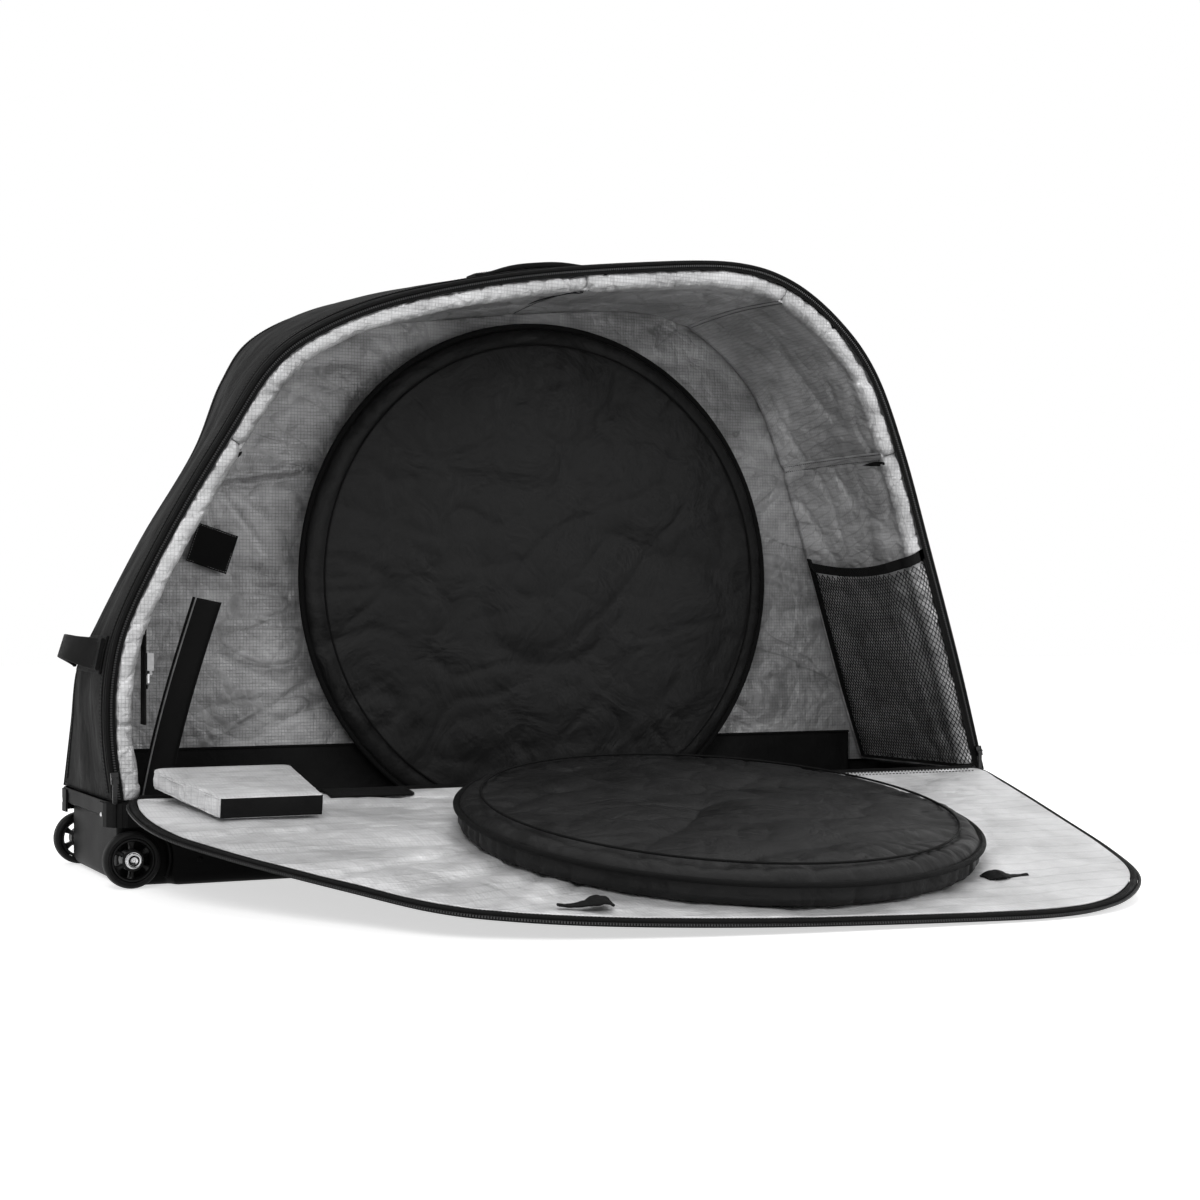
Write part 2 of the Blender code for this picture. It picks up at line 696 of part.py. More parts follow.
def hub_of_wheel(label, spin, outer, half):
    """Hub with a rim, a thin web with windows, and a core that holds the bearings."""
    rim = outer - HUB_RIM
    core = BEARING_RADIUS + CORE_WALL
    web = HUB_WEB / 2
    bore = BEARING_RADIUS + RUNNING_GAP
    shoulder_bore = BEARING_RADIUS - CORE_WALL / 2
    seat = half - BEARING_WIDTH
    profile = [(bore, half), (core, half), (core, web), (rim, web), (rim, half * 0.8),
               (outer, half * 0.8), (outer, -half * 0.8), (rim, -half * 0.8), (rim, -web),
               (core, -web), (core, -half), (bore, -half), (bore, -seat),
               (shoulder_bore, -seat), (shoulder_bore, seat), (bore, seat)]
    hub = turned("hub_" + label, profile, (0.030, 0.030, 0.032), 0.35, parent=spin, closed=True)
    windows = cutter("windows_" + label, hub_windows(core, rim), Matrix())
    windows.parent = spin
    cut(hub, windows)


def hub_windows(core, rim):
    """Return the cutter for the windows between a hub's spokes."""
    bm = bmesh.new()
    pitch = math.tau / HUB_WINDOWS
    low = -HUB_WEB / 2 - CUT_OVERRUN
    plans = []
    for i in range(HUB_WINDOWS):
        points = []
        for radius, steps in ((core + HUB_WINDOW_EDGE, (-1, 1)), (rim - HUB_WINDOW_EDGE, (1, 0, -1))):
            for step in steps:
                angle = pitch * (i + step * HUB_WINDOW_SHARE / 2)
                points.append(bm.verts.new((radius * math.cos(angle), radius * math.sin(angle), low)))
        plans.append(bm.faces.new(points))
    result = bmesh.ops.extrude_face_region(bm, geom=plans, use_keep_orig=True)
    raised = [v for v in result["geom"] if isinstance(v, bmesh.types.BMVert)]
    bmesh.ops.translate(bm, vec=(0.0, 0.0, -2 * low), verts=raised)
    return mesh_from(bm, "hub_windows")


def bearing_of_wheel(label, spin, half):
    """Ball race pair on one sleeve, pressed into the hub's core."""
    inner = AXLE_RADIUS + RUNNING_GAP
    outer = BEARING_RADIUS
    sleeve = BEARING_RADIUS - CORE_WALL / 2 - SEAT_GAP
    seat = half - BEARING_WIDTH + SEAT_GAP
    profile = [(inner, half), (outer, half), (outer, seat), (sleeve, seat), (sleeve, -seat),
               (outer, -seat), (outer, -half), (inner, -half)]
    turned("bearing_" + label, profile, STEEL, 0.25, 1.0, spin, closed=True)


def axle_bolt(label, centre, turn, half):
    """Stub axle with a flange against the tub and a socket head outside."""
    flange_out = -half - WHEEL_SIDE_GAP
    head_in = half + WHEEL_SIDE_GAP
    shank = AXLE_RADIUS - RUNNING_GAP
    socket = AXLE_SOCKET_RADIUS
    profile = [(0.0, head_in + AXLE_HEAD - AXLE_SOCKET_DEPTH),
               (socket, head_in + AXLE_HEAD - AXLE_SOCKET_DEPTH), (socket, head_in + AXLE_HEAD),
               (AXLE_HEAD_RADIUS * 0.8, head_in + AXLE_HEAD),
               (AXLE_HEAD_RADIUS, head_in + AXLE_HEAD * 0.6), (AXLE_HEAD_RADIUS, head_in),
               (shank, head_in), (shank, flange_out), (AXLE_FLANGE_RADIUS, flange_out),
               (AXLE_FLANGE_RADIUS, flange_out - AXLE_FLANGE), (0.0, flange_out - AXLE_FLANGE)]
    made = turned("axle_bolt_" + label, profile, STEEL, 0.2, 1.0)
    made.location = centre
    made.rotation_euler = turn
    return made


def outer_shell():
    """Nylon wall round the bag, the back skin and its stiff padded lining."""
    front = FRONT_Y + PIPING_RADIUS + SEAT_GAP
    thick = SHELL_THICKNESS
    wall_piece("side_wall", (0.0, 1.0), (front, BACK_Y), (0.0, 0.0), (thick, thick),
               BLACK_NYLON, 0.75)
    inside = BACK_Y - SEAT_GAP
    panel_between("back_panel", inside - BACK_SKIN, inside, thick + SEAT_GAP, BLACK_NYLON)
    panel_between("back_lining", BACK_PAD_Y, BACK_PAD_Y + BACK_PAD - SEAT_GAP, thick + SEAT_GAP,
                  SILVER_LINING)


def panel_between(name, low_y, high_y, inset, color):
    """Add an upright panel that fills the wall's outline between two depths."""
    middle = (low_y + high_y) / 2
    points = [wall_at(i, middle, inset + PANEL_GAP) for i in range(RUN_STEPS + 1)]
    # The panel's own +Z is the bag's -Y.
    made = flat_piece(name, [[(p.x, p.z) for p in points]], high_y - low_y, color, 0.7)
    made.location = (0.0, middle, 0.0)
    made.rotation_euler = (math.pi / 2, 0.0, 0.0)
    return made


def wall_pads():
    """Silver wall padding in five lengths, with small gaps at their sewn ends."""
    outer = SHELL_THICKNESS + SOFT_GAP
    front = FRONT_Y + ZIP_TAPE_THICKNESS / 2 + SEAT_GAP * 2
    back = BACK_PAD_Y - SEAT_GAP
    for name, start, end in zip(PAD_NAMES, PAD_PART_SHARES, PAD_PART_SHARES[1:]):
        run = (start + run_gap(start, SOFT_GAP) / 2, end - run_gap(end, SOFT_GAP) / 2)
        made = wall_piece("wall_pad_" + name, run, (front + PIPING_RADIUS, back),
                          (outer, outer), (PAD_INNER, PAD_INNER), SILVER_LINING, 0.5)
        bevel(made, PAD_EDGE_RADIUS, segments=1, angle=50.0)


def rim():
    """Piping round the opening and the zip's tape inside it."""
    piping = [wall_at(i, FRONT_Y, PIPING_RADIUS) for i in range(RUN_STEPS + 1)]
    tube("rim_piping", piping, PIPING_RADIUS, BLACK_TRIM, 0.6, resolution=1)
    tape_in = 2 * PIPING_RADIUS + SEAT_GAP
    half = ZIP_TAPE_THICKNESS / 2
    wall_piece("rim_zip_tape", (0.0, 1.0), (FRONT_Y - half, FRONT_Y + half),
               (tape_in, tape_in), (tape_in + ZIP_TAPE_WIDTH, tape_in + ZIP_TAPE_WIDTH),
               BLACK_TRIM, 0.6)


def kick_band():
    """Black band along the foot of the back lining, down into the tub."""
    left = WHEEL_X + ARCH_RADIUS + ARCH_BLEND + FLOOR_PAD_SPACE
    right = TUB_RIGHT - BAND_END_SPACE
    low = TUB_WALL + FLOOR_PAD + 2 * SEAT_GAP
    return box("kick_band", (left, BACK_PAD_Y - SEAT_GAP - BAND_THICKNESS, low),
               (right, BACK_PAD_Y - SEAT_GAP, BAND_HEIGHT), BLACK_TRIM, 0.7)


def soft_disc_profile(radius, thickness, crown):
    """Return a wheel bag's profile, top to bottom: a crowned face with a rolled edge."""
    roll = BAG_EDGE_ROLL
    top = thickness - crown
    points = [(0.0, thickness), (radius * 0.35, thickness - crown * 0.12),
              (radius * 0.70, thickness - crown * 0.5), (radius - roll, top)]
    for i in range(1, 4):
        angle = math.pi / 2 * (1 - i / 3)
        points.append((radius - roll + roll * math.cos(angle), top - roll + roll * math.sin(angle)))
    points += [(radius - roll * 0.2, roll * 0.25), (radius - roll * 0.7, 0.0), (0.0, 0.0)]
    return points


def bag_piping(name, radius, height, parent):
    """Round piping that lies on a wheel bag's shoulder."""
    turns = [math.tau * i / BAG_SIDES for i in range(BAG_SIDES)]
    points = [(radius * math.cos(turn), radius * math.sin(turn), height) for turn in turns]
    return tube(name, points, BAG_PIPING, BLACK_TRIM, 0.6, parent=parent, cyclic=True)


def rear_wheel_bag():
    """Round padded wheel bag on the back wall."""
    back = BACK_PAD_Y - 2 * SEAT_GAP - BAND_THICKNESS
    seat = empty_at("rear_bag_seat", (REAR_BAG_X, back, REAR_BAG_Z), (math.pi / 2, 0.0, 0.0))
    profile = soft_disc_profile(REAR_BAG_RADIUS, REAR_BAG_THICKNESS, BAG_CROWN)
    turned("rear_wheel_bag", profile, BLACK_NYLON, 0.8, parent=seat, steps=BAG_SIDES)
    shoulder = REAR_BAG_THICKNESS - BAG_CROWN - BAG_EDGE_ROLL
    bag_piping("rear_bag_piping", REAR_BAG_RADIUS + BAG_PIPING + SOFT_GAP, shoulder, seat)


def mesh_pocket():
    """Net pocket on the right wall: a net, a stretch band and a binding round it."""
    top = POCKET_TOP_SHARE
    bottom = 1.0 - run_gap(1.0, SOFT_GAP)
    front = FRONT_Y + POCKET_FRONT_SPACE
    back = BACK_PAD_Y - POCKET_BACK_SPACE
    seat = PAD_INNER + SEAT_GAP
    mouth = PAD_INNER + POCKET_MOUTH_DEPTH
    base = PAD_INNER + POCKET_BASE_DEPTH
    edge = POCKET_BINDING
    gap = SEAT_GAP
    band = run_gap(top, POCKET_BAND_HEIGHT)
    thick = POCKET_BAND_THICKNESS
    band_low = base_at(top + band, top, bottom, mouth, base)
    wall_piece("pocket_band", (top, top + band), (front, back), (mouth, band_low),
               (mouth + thick, band_low + thick), BLACK_TRIM, 0.7)
    net_top = top + band + run_gap(top, gap)
    foot = bottom - run_gap(bottom, edge)
    net = (net_top, foot - run_gap(bottom, gap))
    net_outer = (base_at(net[0], top, bottom, mouth, base), base_at(net[1], top, bottom, mouth, base))
    net_panel(net, (front + edge + gap, back - edge - gap), net_outer)
    binding((net_top, foot, bottom), (front, front + edge, back - edge, back), seat,
            (net_outer[0], base))


def binding(shares, ys, seat, inner):
    """Binding that runs down one side of the net, across its foot and up the other side."""
    columns = columns_for(shares[:2])
    bm = bmesh.new()
    bmesh.ops.create_grid(bm, x_segments=columns + 1, y_segments=3, size=0.5)
    bmesh.ops.translate(bm, vec=(0.5, 0.5, 0.0), verts=bm.verts)
    whole = columns + 1
    window = [f for f in bm.faces if f.calc_center_median().x * whole < columns
              and 1.0 < f.calc_center_median().y * 3 < 2.0]
    bmesh.ops.delete(bm, geom=window, context="FACES")
    result = bmesh.ops.extrude_face_region(bm, geom=bm.faces[:], use_keep_orig=True)
    raised = [v for v in result["geom"] if isinstance(v, bmesh.types.BMVert)]
    bmesh.ops.translate(bm, vec=(0.0, 0.0, 1.0), verts=raised)
    for vert in bm.verts:
        column = round(vert.co.x * whole)
        share = shares[2] if column == whole else between(shares[:2], column / columns)
        stand = between(inner, (share - shares[0]) / (shares[2] - shares[0]))
        vert.co = wall_point(share, ys[round(vert.co.y * 3)], between((seat, stand), vert.co.z))
    return place("pocket_binding", mesh_from(bm, "pocket_binding"), BLACK_TRIM, 0.7)


def base_at(share, top, bottom, mouth, base):
    """Return how far the pocket stands in from the shell at a share of the run."""
    return between((mouth, base), (share - top) / (bottom - top))


def net_panel(run, ys, outer):
    """Net of crossing strands, made by opening every cell of a grid."""
    length = (wall_point(run[0], ys[0], 0.0) - wall_point(run[1], ys[0], 0.0)).length
    width = ys[1] - ys[0]
    bm = bmesh.new()
    bmesh.ops.create_grid(bm, x_segments=NET_ROWS, y_segments=NET_COLUMNS, size=0.5)
    bmesh.ops.scale(bm, vec=(length, width, 1.0), verts=bm.verts)
    cells = bm.faces[:]
    bmesh.ops.inset_individual(bm, faces=cells, thickness=NET_STRAND / 2)
    bmesh.ops.delete(bm, geom=cells, context="FACES")
    result = bmesh.ops.extrude_face_region(bm, geom=bm.faces[:], use_keep_orig=True)
    raised = [v for v in result["geom"] if isinstance(v, bmesh.types.BMVert)]
    bmesh.ops.translate(bm, vec=(0.0, 0.0, 1.0), verts=raised)
    for vert in bm.verts:
        along = vert.co.x / length + 0.5
        depth = between(ys, vert.co.y / width + 0.5)
        inset = between(outer, along) + NET_THICKNESS * vert.co.z
        vert.co = wall_point(between(run, along), depth, inset)
    return place("pocket_net", mesh_from(bm, "pocket_net"), BLACK_TRIM, 0.7)


def frame_strap():
    """Wide strap fixed to the tub's floor, folded up to stand beside the left wall."""
    steps = 8
    half = FRAME_STRAP_WIDTH / 2
    thick = FRAME_STRAP_THICKNESS
    foot_z = TUB_WALL + SEAT_GAP
    bm = slab(steps + 1, 1)
    for vert in bm.verts:
        step = round(vert.co.x * (steps + 1)) - 1
        side = (vert.co.y - 0.5) * 2 * half
        over = vert.co.z
        if step < 0:
            vert.co = (FRAME_STRAP_FOOT_X + side, FRAME_STRAP_Y - STRAP_FOOT_LENGTH,
                       foot_z + thick * over)
            continue
        t = step / steps
        x = FRAME_STRAP_FOOT_X + FRAME_STRAP_TOP_DISTANCE * t
        x -= FRAME_STRAP_BOW * math.sin(math.pi * t)
        z = between((foot_z, FRAME_STRAP_HEIGHT), t) + (thick * over if step == 0 else 0.0)
        vert.co = (x + side, FRAME_STRAP_Y - thick * over, z)
    place("frame_strap", mesh_from(bm, "frame_strap"), BLACK_TRIM, 0.8)


def left_pad_face(low_z, high_z, low_y, high_y):
    """Return the x that clears the left padding's inner face over a patch of it."""
    faces = []
    for i in range(RUN_STEPS * 2):
        for y in (low_y, (low_y + high_y) / 2, high_y):
            point = wall_point(i / (RUN_STEPS * 4), y, PAD_INNER)
            if low_z <= point.z <= high_z:
                faces.append(point.x)
    return max(faces)


def buckle_set():
    """Webbing, cam buckle with its lever, and a ring, on the left wall's padding."""
    top_z = BUCKLE_WEB_TOP
    low_z = top_z - BUCKLE_WEB_LENGTH
    half = BUCKLE_WEB_WIDTH / 2
    face = left_pad_face(low_z, top_z, BUCKLE_Y - BUCKLE_WIDTH, BUCKLE_Y + BUCKLE_WIDTH)
    web_x = face + SEAT_GAP
    web_face = web_x + BUCKLE_WEB_THICKNESS
    box("buckle_webbing", (web_x, BUCKLE_Y - half, low_z), (web_face, BUCKLE_Y + half, top_z),
        BLACK_TRIM, 0.75)
    body = box("cam_buckle", (web_face + SEAT_GAP, BUCKLE_Y - BUCKLE_WIDTH / 2, BUCKLE_TOP - BUCKLE_HEIGHT),
               (web_face + SEAT_GAP + BUCKLE_DEPTH, BUCKLE_Y + BUCKLE_WIDTH / 2, BUCKLE_TOP),
               STEEL, 0.25, 1.0)
    pin_x = web_face + SEAT_GAP + BUCKLE_DEPTH
    slot_buckle(body, pin_x)
    cam_lever(pin_x)
    ring_under_buckle(web_face)


def slot_buckle(body, pin_x):
    """Cut the slot in the buckle where the lever lies."""
    bm = bmesh.new()
    bmesh.ops.create_cube(bm, size=1.0)
    side = BUCKLE_WIDTH * BUCKLE_CHEEK_SHARE
    depth = LEVER_THICKNESS + 2 * LEVER_PIN_RADIUS
    size = Vector((2 * depth, BUCKLE_WIDTH - 2 * side, BUCKLE_HEIGHT + 2 * CUT_OVERRUN))
    bmesh.ops.scale(bm, vec=size, verts=bm.verts)
    move = Matrix.Translation((pin_x, BUCKLE_Y, BUCKLE_TOP - BUCKLE_HEIGHT / 2))
    cut(body, cutter("buckle_slot", mesh_from(bm, "buckle_slot"), move))


def cam_lever(pin_x):
    """Lever of the cam buckle, hinged on a cross pin at the buckle's top."""
    side = BUCKLE_WIDTH * BUCKLE_CHEEK_SHARE + SEAT_GAP
    pin = empty_at("lever_pin", (pin_x - LEVER_PIN_RADIUS - LEVER_THICKNESS / 2, BUCKLE_Y,
                                 BUCKLE_TOP - 2 * LEVER_PIN_RADIUS))
    half = BUCKLE_WIDTH / 2 - side
    radius = LEVER_PIN_RADIUS
    profile = corner((0.0, 0.0), radius, 0, 4) + corner((0.0, 0.0), radius, 90, 4)[1:]
    thick = LEVER_THICKNESS / 2
    outline_points = profile + [(-thick * 0.8, -LEVER_LENGTH), (thick * 1.6, -LEVER_LENGTH),
                                (thick, -radius)]
    made = flat_piece("cam_lever", [outline_points], 2 * half, STEEL, 0.25, 1.0, pin)
    # The outline lies in X and Z, and its thickness runs along Y.
    made.rotation_euler = (math.pi / 2, 0.0, 0.0)


def ring_under_buckle(web_face):
    """Steel ring that the webbing holds below the buckle."""
    x = web_face + SEAT_GAP + RING_WIRE
    top = BUCKLE_TOP - BUCKLE_HEIGHT - 3 * RING_WIRE
    half = BUCKLE_WEB_WIDTH / 2 + RING_WIRE
    low = top - RING_HEIGHT
    points = [(x, BUCKLE_Y - half, top), (x, BUCKLE_Y + half, top),
              (x, BUCKLE_Y + half, low + half * 0.5), (x, BUCKLE_Y + half * 0.5, low),
              (x, BUCKLE_Y - half * 0.5, low), (x, BUCKLE_Y - half, low + half * 0.5)]
    tube("strap_ring", points, RING_WIRE, STEEL, 0.25, 1.0, cyclic=True, resolution=2)


def bare_patch():
    """Small bare patch sewn to the back lining."""
    half_x = PATCH_LENGTH / 2
    half_z = PATCH_WIDTH / 2
    points = [(-half_x, -half_z), (half_x, -half_z), (half_x, half_z), (-half_x, half_z)]
    made = flat_piece("bare_patch", [points], PATCH_THICKNESS, BLACK_TRIM, 0.6)
    made.location = (PATCH_X, BACK_PAD_Y - SEAT_GAP - PATCH_THICKNESS / 2, PATCH_Z)
    made.rotation_euler = (math.pi / 2, -PATCH_TILT, 0.0)


def arch(t):
    """Return the height share of a handle's arch, which lies flat at its sewn ends."""
    out = min(abs(2.0 * t - 1.0) / HANDLE_RISE_SHARE, 1.0)
    return (1.0 - out ** 3) ** 2


def wall_frame(share, y):
    """Return the wall's outer point and its tangent and outward normal there."""
    step = 0.5 / RUN_STEPS
    point = wall_point(share, y, 0.0)
    along = (wall_point(share + step, y, 0.0) - wall_point(share - step, y, 0.0)).normalized()
    return point, along, Vector((-along.z, 0.0, along.x))


def handle(name, spots, width, bow, flat_across):
    """Add a webbing handle over spots on the wall, given as (share, y) from end to end."""
    last = len(spots) - 1
    lift = HANDLE_BASE + SEAT_GAP + SOFT_GAP + HANDLE_THICKNESS / 2
    frames = [wall_frame(*spot) for spot in spots]
    centres = [point + normal * (lift + bow * arch(i / last))
               for i, (point, _, normal) in enumerate(frames)]
    bm = slab(last, 1)
    for vert in bm.verts:
        i = round(vert.co.x * last)
        across = Vector((0.0, 1.0, 0.0)) if flat_across else frames[i][1]
        path = centres[min(i + 1, last)] - centres[max(i - 1, 0)]
        out = path.cross(across).normalized()
        out = out if out.dot(frames[i][2]) > 0 else -out
        side = across * ((vert.co.y - 0.5) * width)
        vert.co = centres[i] + side + out * ((vert.co.z - 0.5) * HANDLE_THICKNESS)
    return place(name, mesh_from(bm, name), BLACK_TRIM, 0.7)


def end_handle():
    """Grab handle across the left end, on a sewn strip."""
    share = share_at_height(END_HANDLE_Z)
    start = -END_HANDLE_SPAN / 2
    spots = [(share, start + END_HANDLE_SPAN * i / HANDLE_STEPS) for i in range(HANDLE_STEPS + 1)]
    handle("end_handle", spots, END_HANDLE_WIDTH, END_HANDLE_BOW, False)
    reach = run_gap(share, END_HANDLE_WIDTH * 0.6)
    handle_base("end_handle_base", (share - reach, share + reach), (start, -start))


def top_handle():
    """Carry handle along the top of the shell, on a sewn strip."""
    share = top_share(TOP_HANDLE_X)
    reach = run_gap(share, TOP_HANDLE_SPAN / 2)
    spots = [(share + reach * (2 * i / HANDLE_STEPS - 1), 0.0) for i in range(HANDLE_STEPS + 1)]
    handle("top_handle", spots, TOP_HANDLE_WIDTH, TOP_HANDLE_BOW, True)
    half = TOP_HANDLE_WIDTH * 0.6
    handle_base("top_handle_base", (share - reach, share + reach), (-half, half))


def handle_base(name, run, ys):
    """Sewn strip on the shell's outside that carries a handle's two ends."""
    outer = (-SOFT_GAP - HANDLE_BASE,) * 2
    wall_piece(name, run, ys, outer, (-SOFT_GAP, -SOFT_GAP), BLACK_TRIM, 0.7)


def top_share(x):
    """Return the share of the run where the outline's top passes over an x."""
    for index in range(RUN_STEPS):
        low = FRONT_RUN[index].x
        high = FRONT_RUN[index + 1].x
        if low <= x <= high and FRONT_RUN[index].y > BAG_HEIGHT / 2:
            return (index + (x - low) / (high - low)) / RUN_STEPS
    return 0.5


def slider_frames():
    """Return each zip slider's place and its travel direction up the rim."""
    frames = []
    for right, label in ((False, "left"), (True, "right")):
        inset = SLIDER_WIDTH / 2
        low = wall_point(share_at_height(SLIDER_Z, right), FRONT_Y, inset)
        high = wall_point(share_at_height(SLIDER_Z + SLIDER_TRAVEL, right), FRONT_Y, inset)
        frames.append((label, low, (high - low).normalized()))
    return frames


def zip_sliders():
    """Sliders on the rim's zip, each with a pull that hangs from its bridge."""
    for label, spot, along in slider_frames():
        y = FRONT_Y - PIPING_RADIUS - SEAT_GAP - SLIDER_HEIGHT / 2
        slide = empty_at("slider_seat_" + label, (spot.x, y, spot.z),
                         (0.0, math.atan2(along.x, along.z), 0.0))
        body = box("zip_slider_" + label,
                   (-SLIDER_WIDTH / 2, -SLIDER_HEIGHT / 2, -SLIDER_LENGTH / 2),
                   (SLIDER_WIDTH / 2, SLIDER_HEIGHT / 2, SLIDER_LENGTH / 2),
                   STEEL, 0.3, 1.0, slide)
        bevel(body, SLIDER_HEIGHT / 10)
        cut(body, slider_cutter(label, slide))
        hang = empty_at("pull_pin_" + label, (spot.x, pull_y(), spot.z))
        zip_pull(label, hang)


def slider_cutter(label, slide):
    """Cutter that leaves two lugs on a slider's front, one on each side of its pull."""
    face = -SLIDER_HEIGHT / 2 + SLIDER_LUG
    lug = PULL_WIDTH / 2 + SLIDER_LUG_GAP
    tall = SLIDER_LUG_LENGTH / 2
    right = [(SLIDER_WIDTH, -SLIDER_LENGTH), (SLIDER_WIDTH, -tall), (lug, -tall), (lug, tall),
             (SLIDER_WIDTH, tall), (SLIDER_WIDTH, SLIDER_LENGTH)]
    left = [(-x, z) for x, z in reversed(right)]
    bm = bmesh.new()
    plan = bm.faces.new([bm.verts.new((x, face, z)) for x, z in right + left])
    result = bmesh.ops.extrude_face_region(bm, geom=[plan], use_keep_orig=True)
    front = [v for v in result["geom"] if isinstance(v, bmesh.types.BMVert)]
    bmesh.ops.translate(bm, vec=(0.0, -SLIDER_HEIGHT, 0.0), verts=front)
    name = "slider_lugs_" + label
    made = cutter(name, mesh_from(bm, name), Matrix())
    made.parent = slide
    return made


def pull_y():
    """Return how far in front of the opening the pulls hang."""
    face = FRONT_Y - PIPING_RADIUS - SEAT_GAP - SLIDER_HEIGHT + SLIDER_LUG
    return face - SEAT_GAP - PULL_THICKNESS / 2


def zip_pull(label, hang):
    """Flat pull that swings between the slider's lugs."""
    half = PULL_WIDTH / 2
    low = half - PULL_LENGTH
    top = [(half, PULL_OVER_PIN), (-half, PULL_OVER_PIN)]
    foot = corner((0.0, low), half, 180, 4) + corner((0.0, low), half, 270, 4)[1:]
    made = flat_piece("zip_pull_" + label, [top + foot], PULL_THICKNESS, STEEL, 0.3, 1.0, hang)
    made.rotation_euler = (math.pi / 2, 0.0, 0.0)


def flap_outline(inset):
    """Return the flap's outline on its own plane, as (x, reach), left foot to right foot."""
    points = []
    for i in range(RUN_STEPS + 1):
        edge = wall_at(i, FRONT_Y, FLAP_EDGE_INSET + inset)
        reach = edge.z - HINGE_HEIGHT
        if reach < FLAP_START + inset:
            continue
        low = max(0.0, 1.0 - reach / FLAP_CORNER_LENGTH)
        shift = FLAP_CORNER_INSET * low * low
        points.append((edge.x + (shift if edge.x < 0 else -shift), reach))
    first = points[0]
    last = points[-1]
    foot = FLAP_START + inset
    left = (first[0] + FLAP_CORNER_INSET * 0.5, foot)
    right = (last[0] - FLAP_CORNER_INSET * 0.5, foot)
    return [left] + points + [right]


def flap_piece(name, inset, low, high, color, roughness, hinge, hole_inset=None):
    """Add a layer of the flap between two heights over its middle plane."""
    rings = [flap_outline(inset)]
    if hole_inset is not None:
        rings.append(flap_outline(hole_inset))
    # The flap's own X runs against the bag's, so its Y can run away from the hinge.
    local = [[(-x, y) for x, y in ring] for ring in rings]
    made = flat_piece(name, local, high - low, color, roughness, parent=hinge)
    made.location = (0.0, 0.0, (low + high) / 2)
    return made


def front_flap():
    """Front flap: skin, board and lining in a bound edge, with half of the zip outside."""
    hinge = empty_at("flap_hinge", (0.0, HINGE_Y, HINGE_HEIGHT), (-FLAP_TILT, 0.0, math.pi))
    half = FLAP_THICKNESS / 2
    zip_half = FLAP_ZIP_THICKNESS / 2
    edge = FLAP_ZIP_WIDTH + SEAT_GAP
    inner = edge + FLAP_BINDING
    core = inner + SEAT_GAP
    flap_piece("flap_zip_tape", 0.0, -zip_half, zip_half, BLACK_TRIM, 0.6, hinge, FLAP_ZIP_WIDTH)
    flap_piece("flap_binding", edge, -half, half, BLACK_TRIM, 0.7, hinge, inner)
    skin_top = -half + FLAP_SKIN
    board_top = skin_top + SEAT_GAP + FLAP_BOARD
    flap_piece("flap_skin", core, -half, skin_top, BLACK_NYLON, 0.8, hinge)
    flap_piece("flap_board", core, skin_top + SEAT_GAP, board_top, BLACK_PLASTIC, 0.6, hinge)
    flap_piece("flap_lining", core, board_top + SEAT_GAP, half, SILVER_LINING, 0.5, hinge)
    flap_trim(hinge, half)
    front_wheel_bag(hinge, half)
    loose_pad(hinge, half)


def front_wheel_bag(hinge, half):
    """Round padded wheel bag on the flap's lining."""
    reach = FLAP_START + FRONT_BAG_HINGE_SPACE + FRONT_BAG_RADIUS
    seat = empty_at("front_bag_seat", (0.0, reach, half + SEAT_GAP))
    seat.parent = hinge
    profile = soft_disc_profile(FRONT_BAG_RADIUS, FRONT_BAG_THICKNESS, BAG_CROWN)
    turned("front_wheel_bag", profile, BLACK_NYLON, 0.8, parent=seat, steps=BAG_SIDES)
    shoulder = FRONT_BAG_THICKNESS - BAG_CROWN - BAG_EDGE_ROLL
    bag_piping("front_bag_piping", FRONT_BAG_RADIUS + BAG_PIPING + SOFT_GAP, shoulder, seat)


def flap_trim(hinge, half):
    """Hook strip near the hinge and two strap tabs near the flap's edge."""
    top = half + SEAT_GAP
    start = FLAP_START + HOOK_SPACE + HOOK_THICKNESS
    box("hook_strip", (-HOOK_X - HOOK_LENGTH / 2, start, top),
        (-HOOK_X + HOOK_LENGTH / 2, start + HOOK_WIDTH, top + HOOK_THICKNESS),
        BLACK_TRIM, 0.9, parent=hinge)
    reach = FLAP_REACH - TAB_EDGE_SPACE
    for x, label, way in zip(TAB_XS, ("left", "right"), (1.0, -1.0)):
        made = flat_piece("strap_tab_" + label, [strap_tab(way)], TAB_THICKNESS, BLACK_TRIM, 0.8,
                          parent=hinge)
        made.location = (-x, reach + TAB_WIDTH / 2, top + TAB_THICKNESS / 2)


def strap_tab(way):
    """Return a strap tab's outline: a sewn end that narrows to a pointed tail."""
    end, half = TAB_LENGTH / 2 * way, TAB_WIDTH / 2
    tail = half * TAB_TAIL_SHARE
    side = [(-end, half * 0.8), (-end * 0.8, half), (-end * 0.1, half), (end * 0.15, tail),
            (end * 0.8, tail)]
    return side + [(end, 0.0)] + [(x, -y) for x, y in reversed(side)]


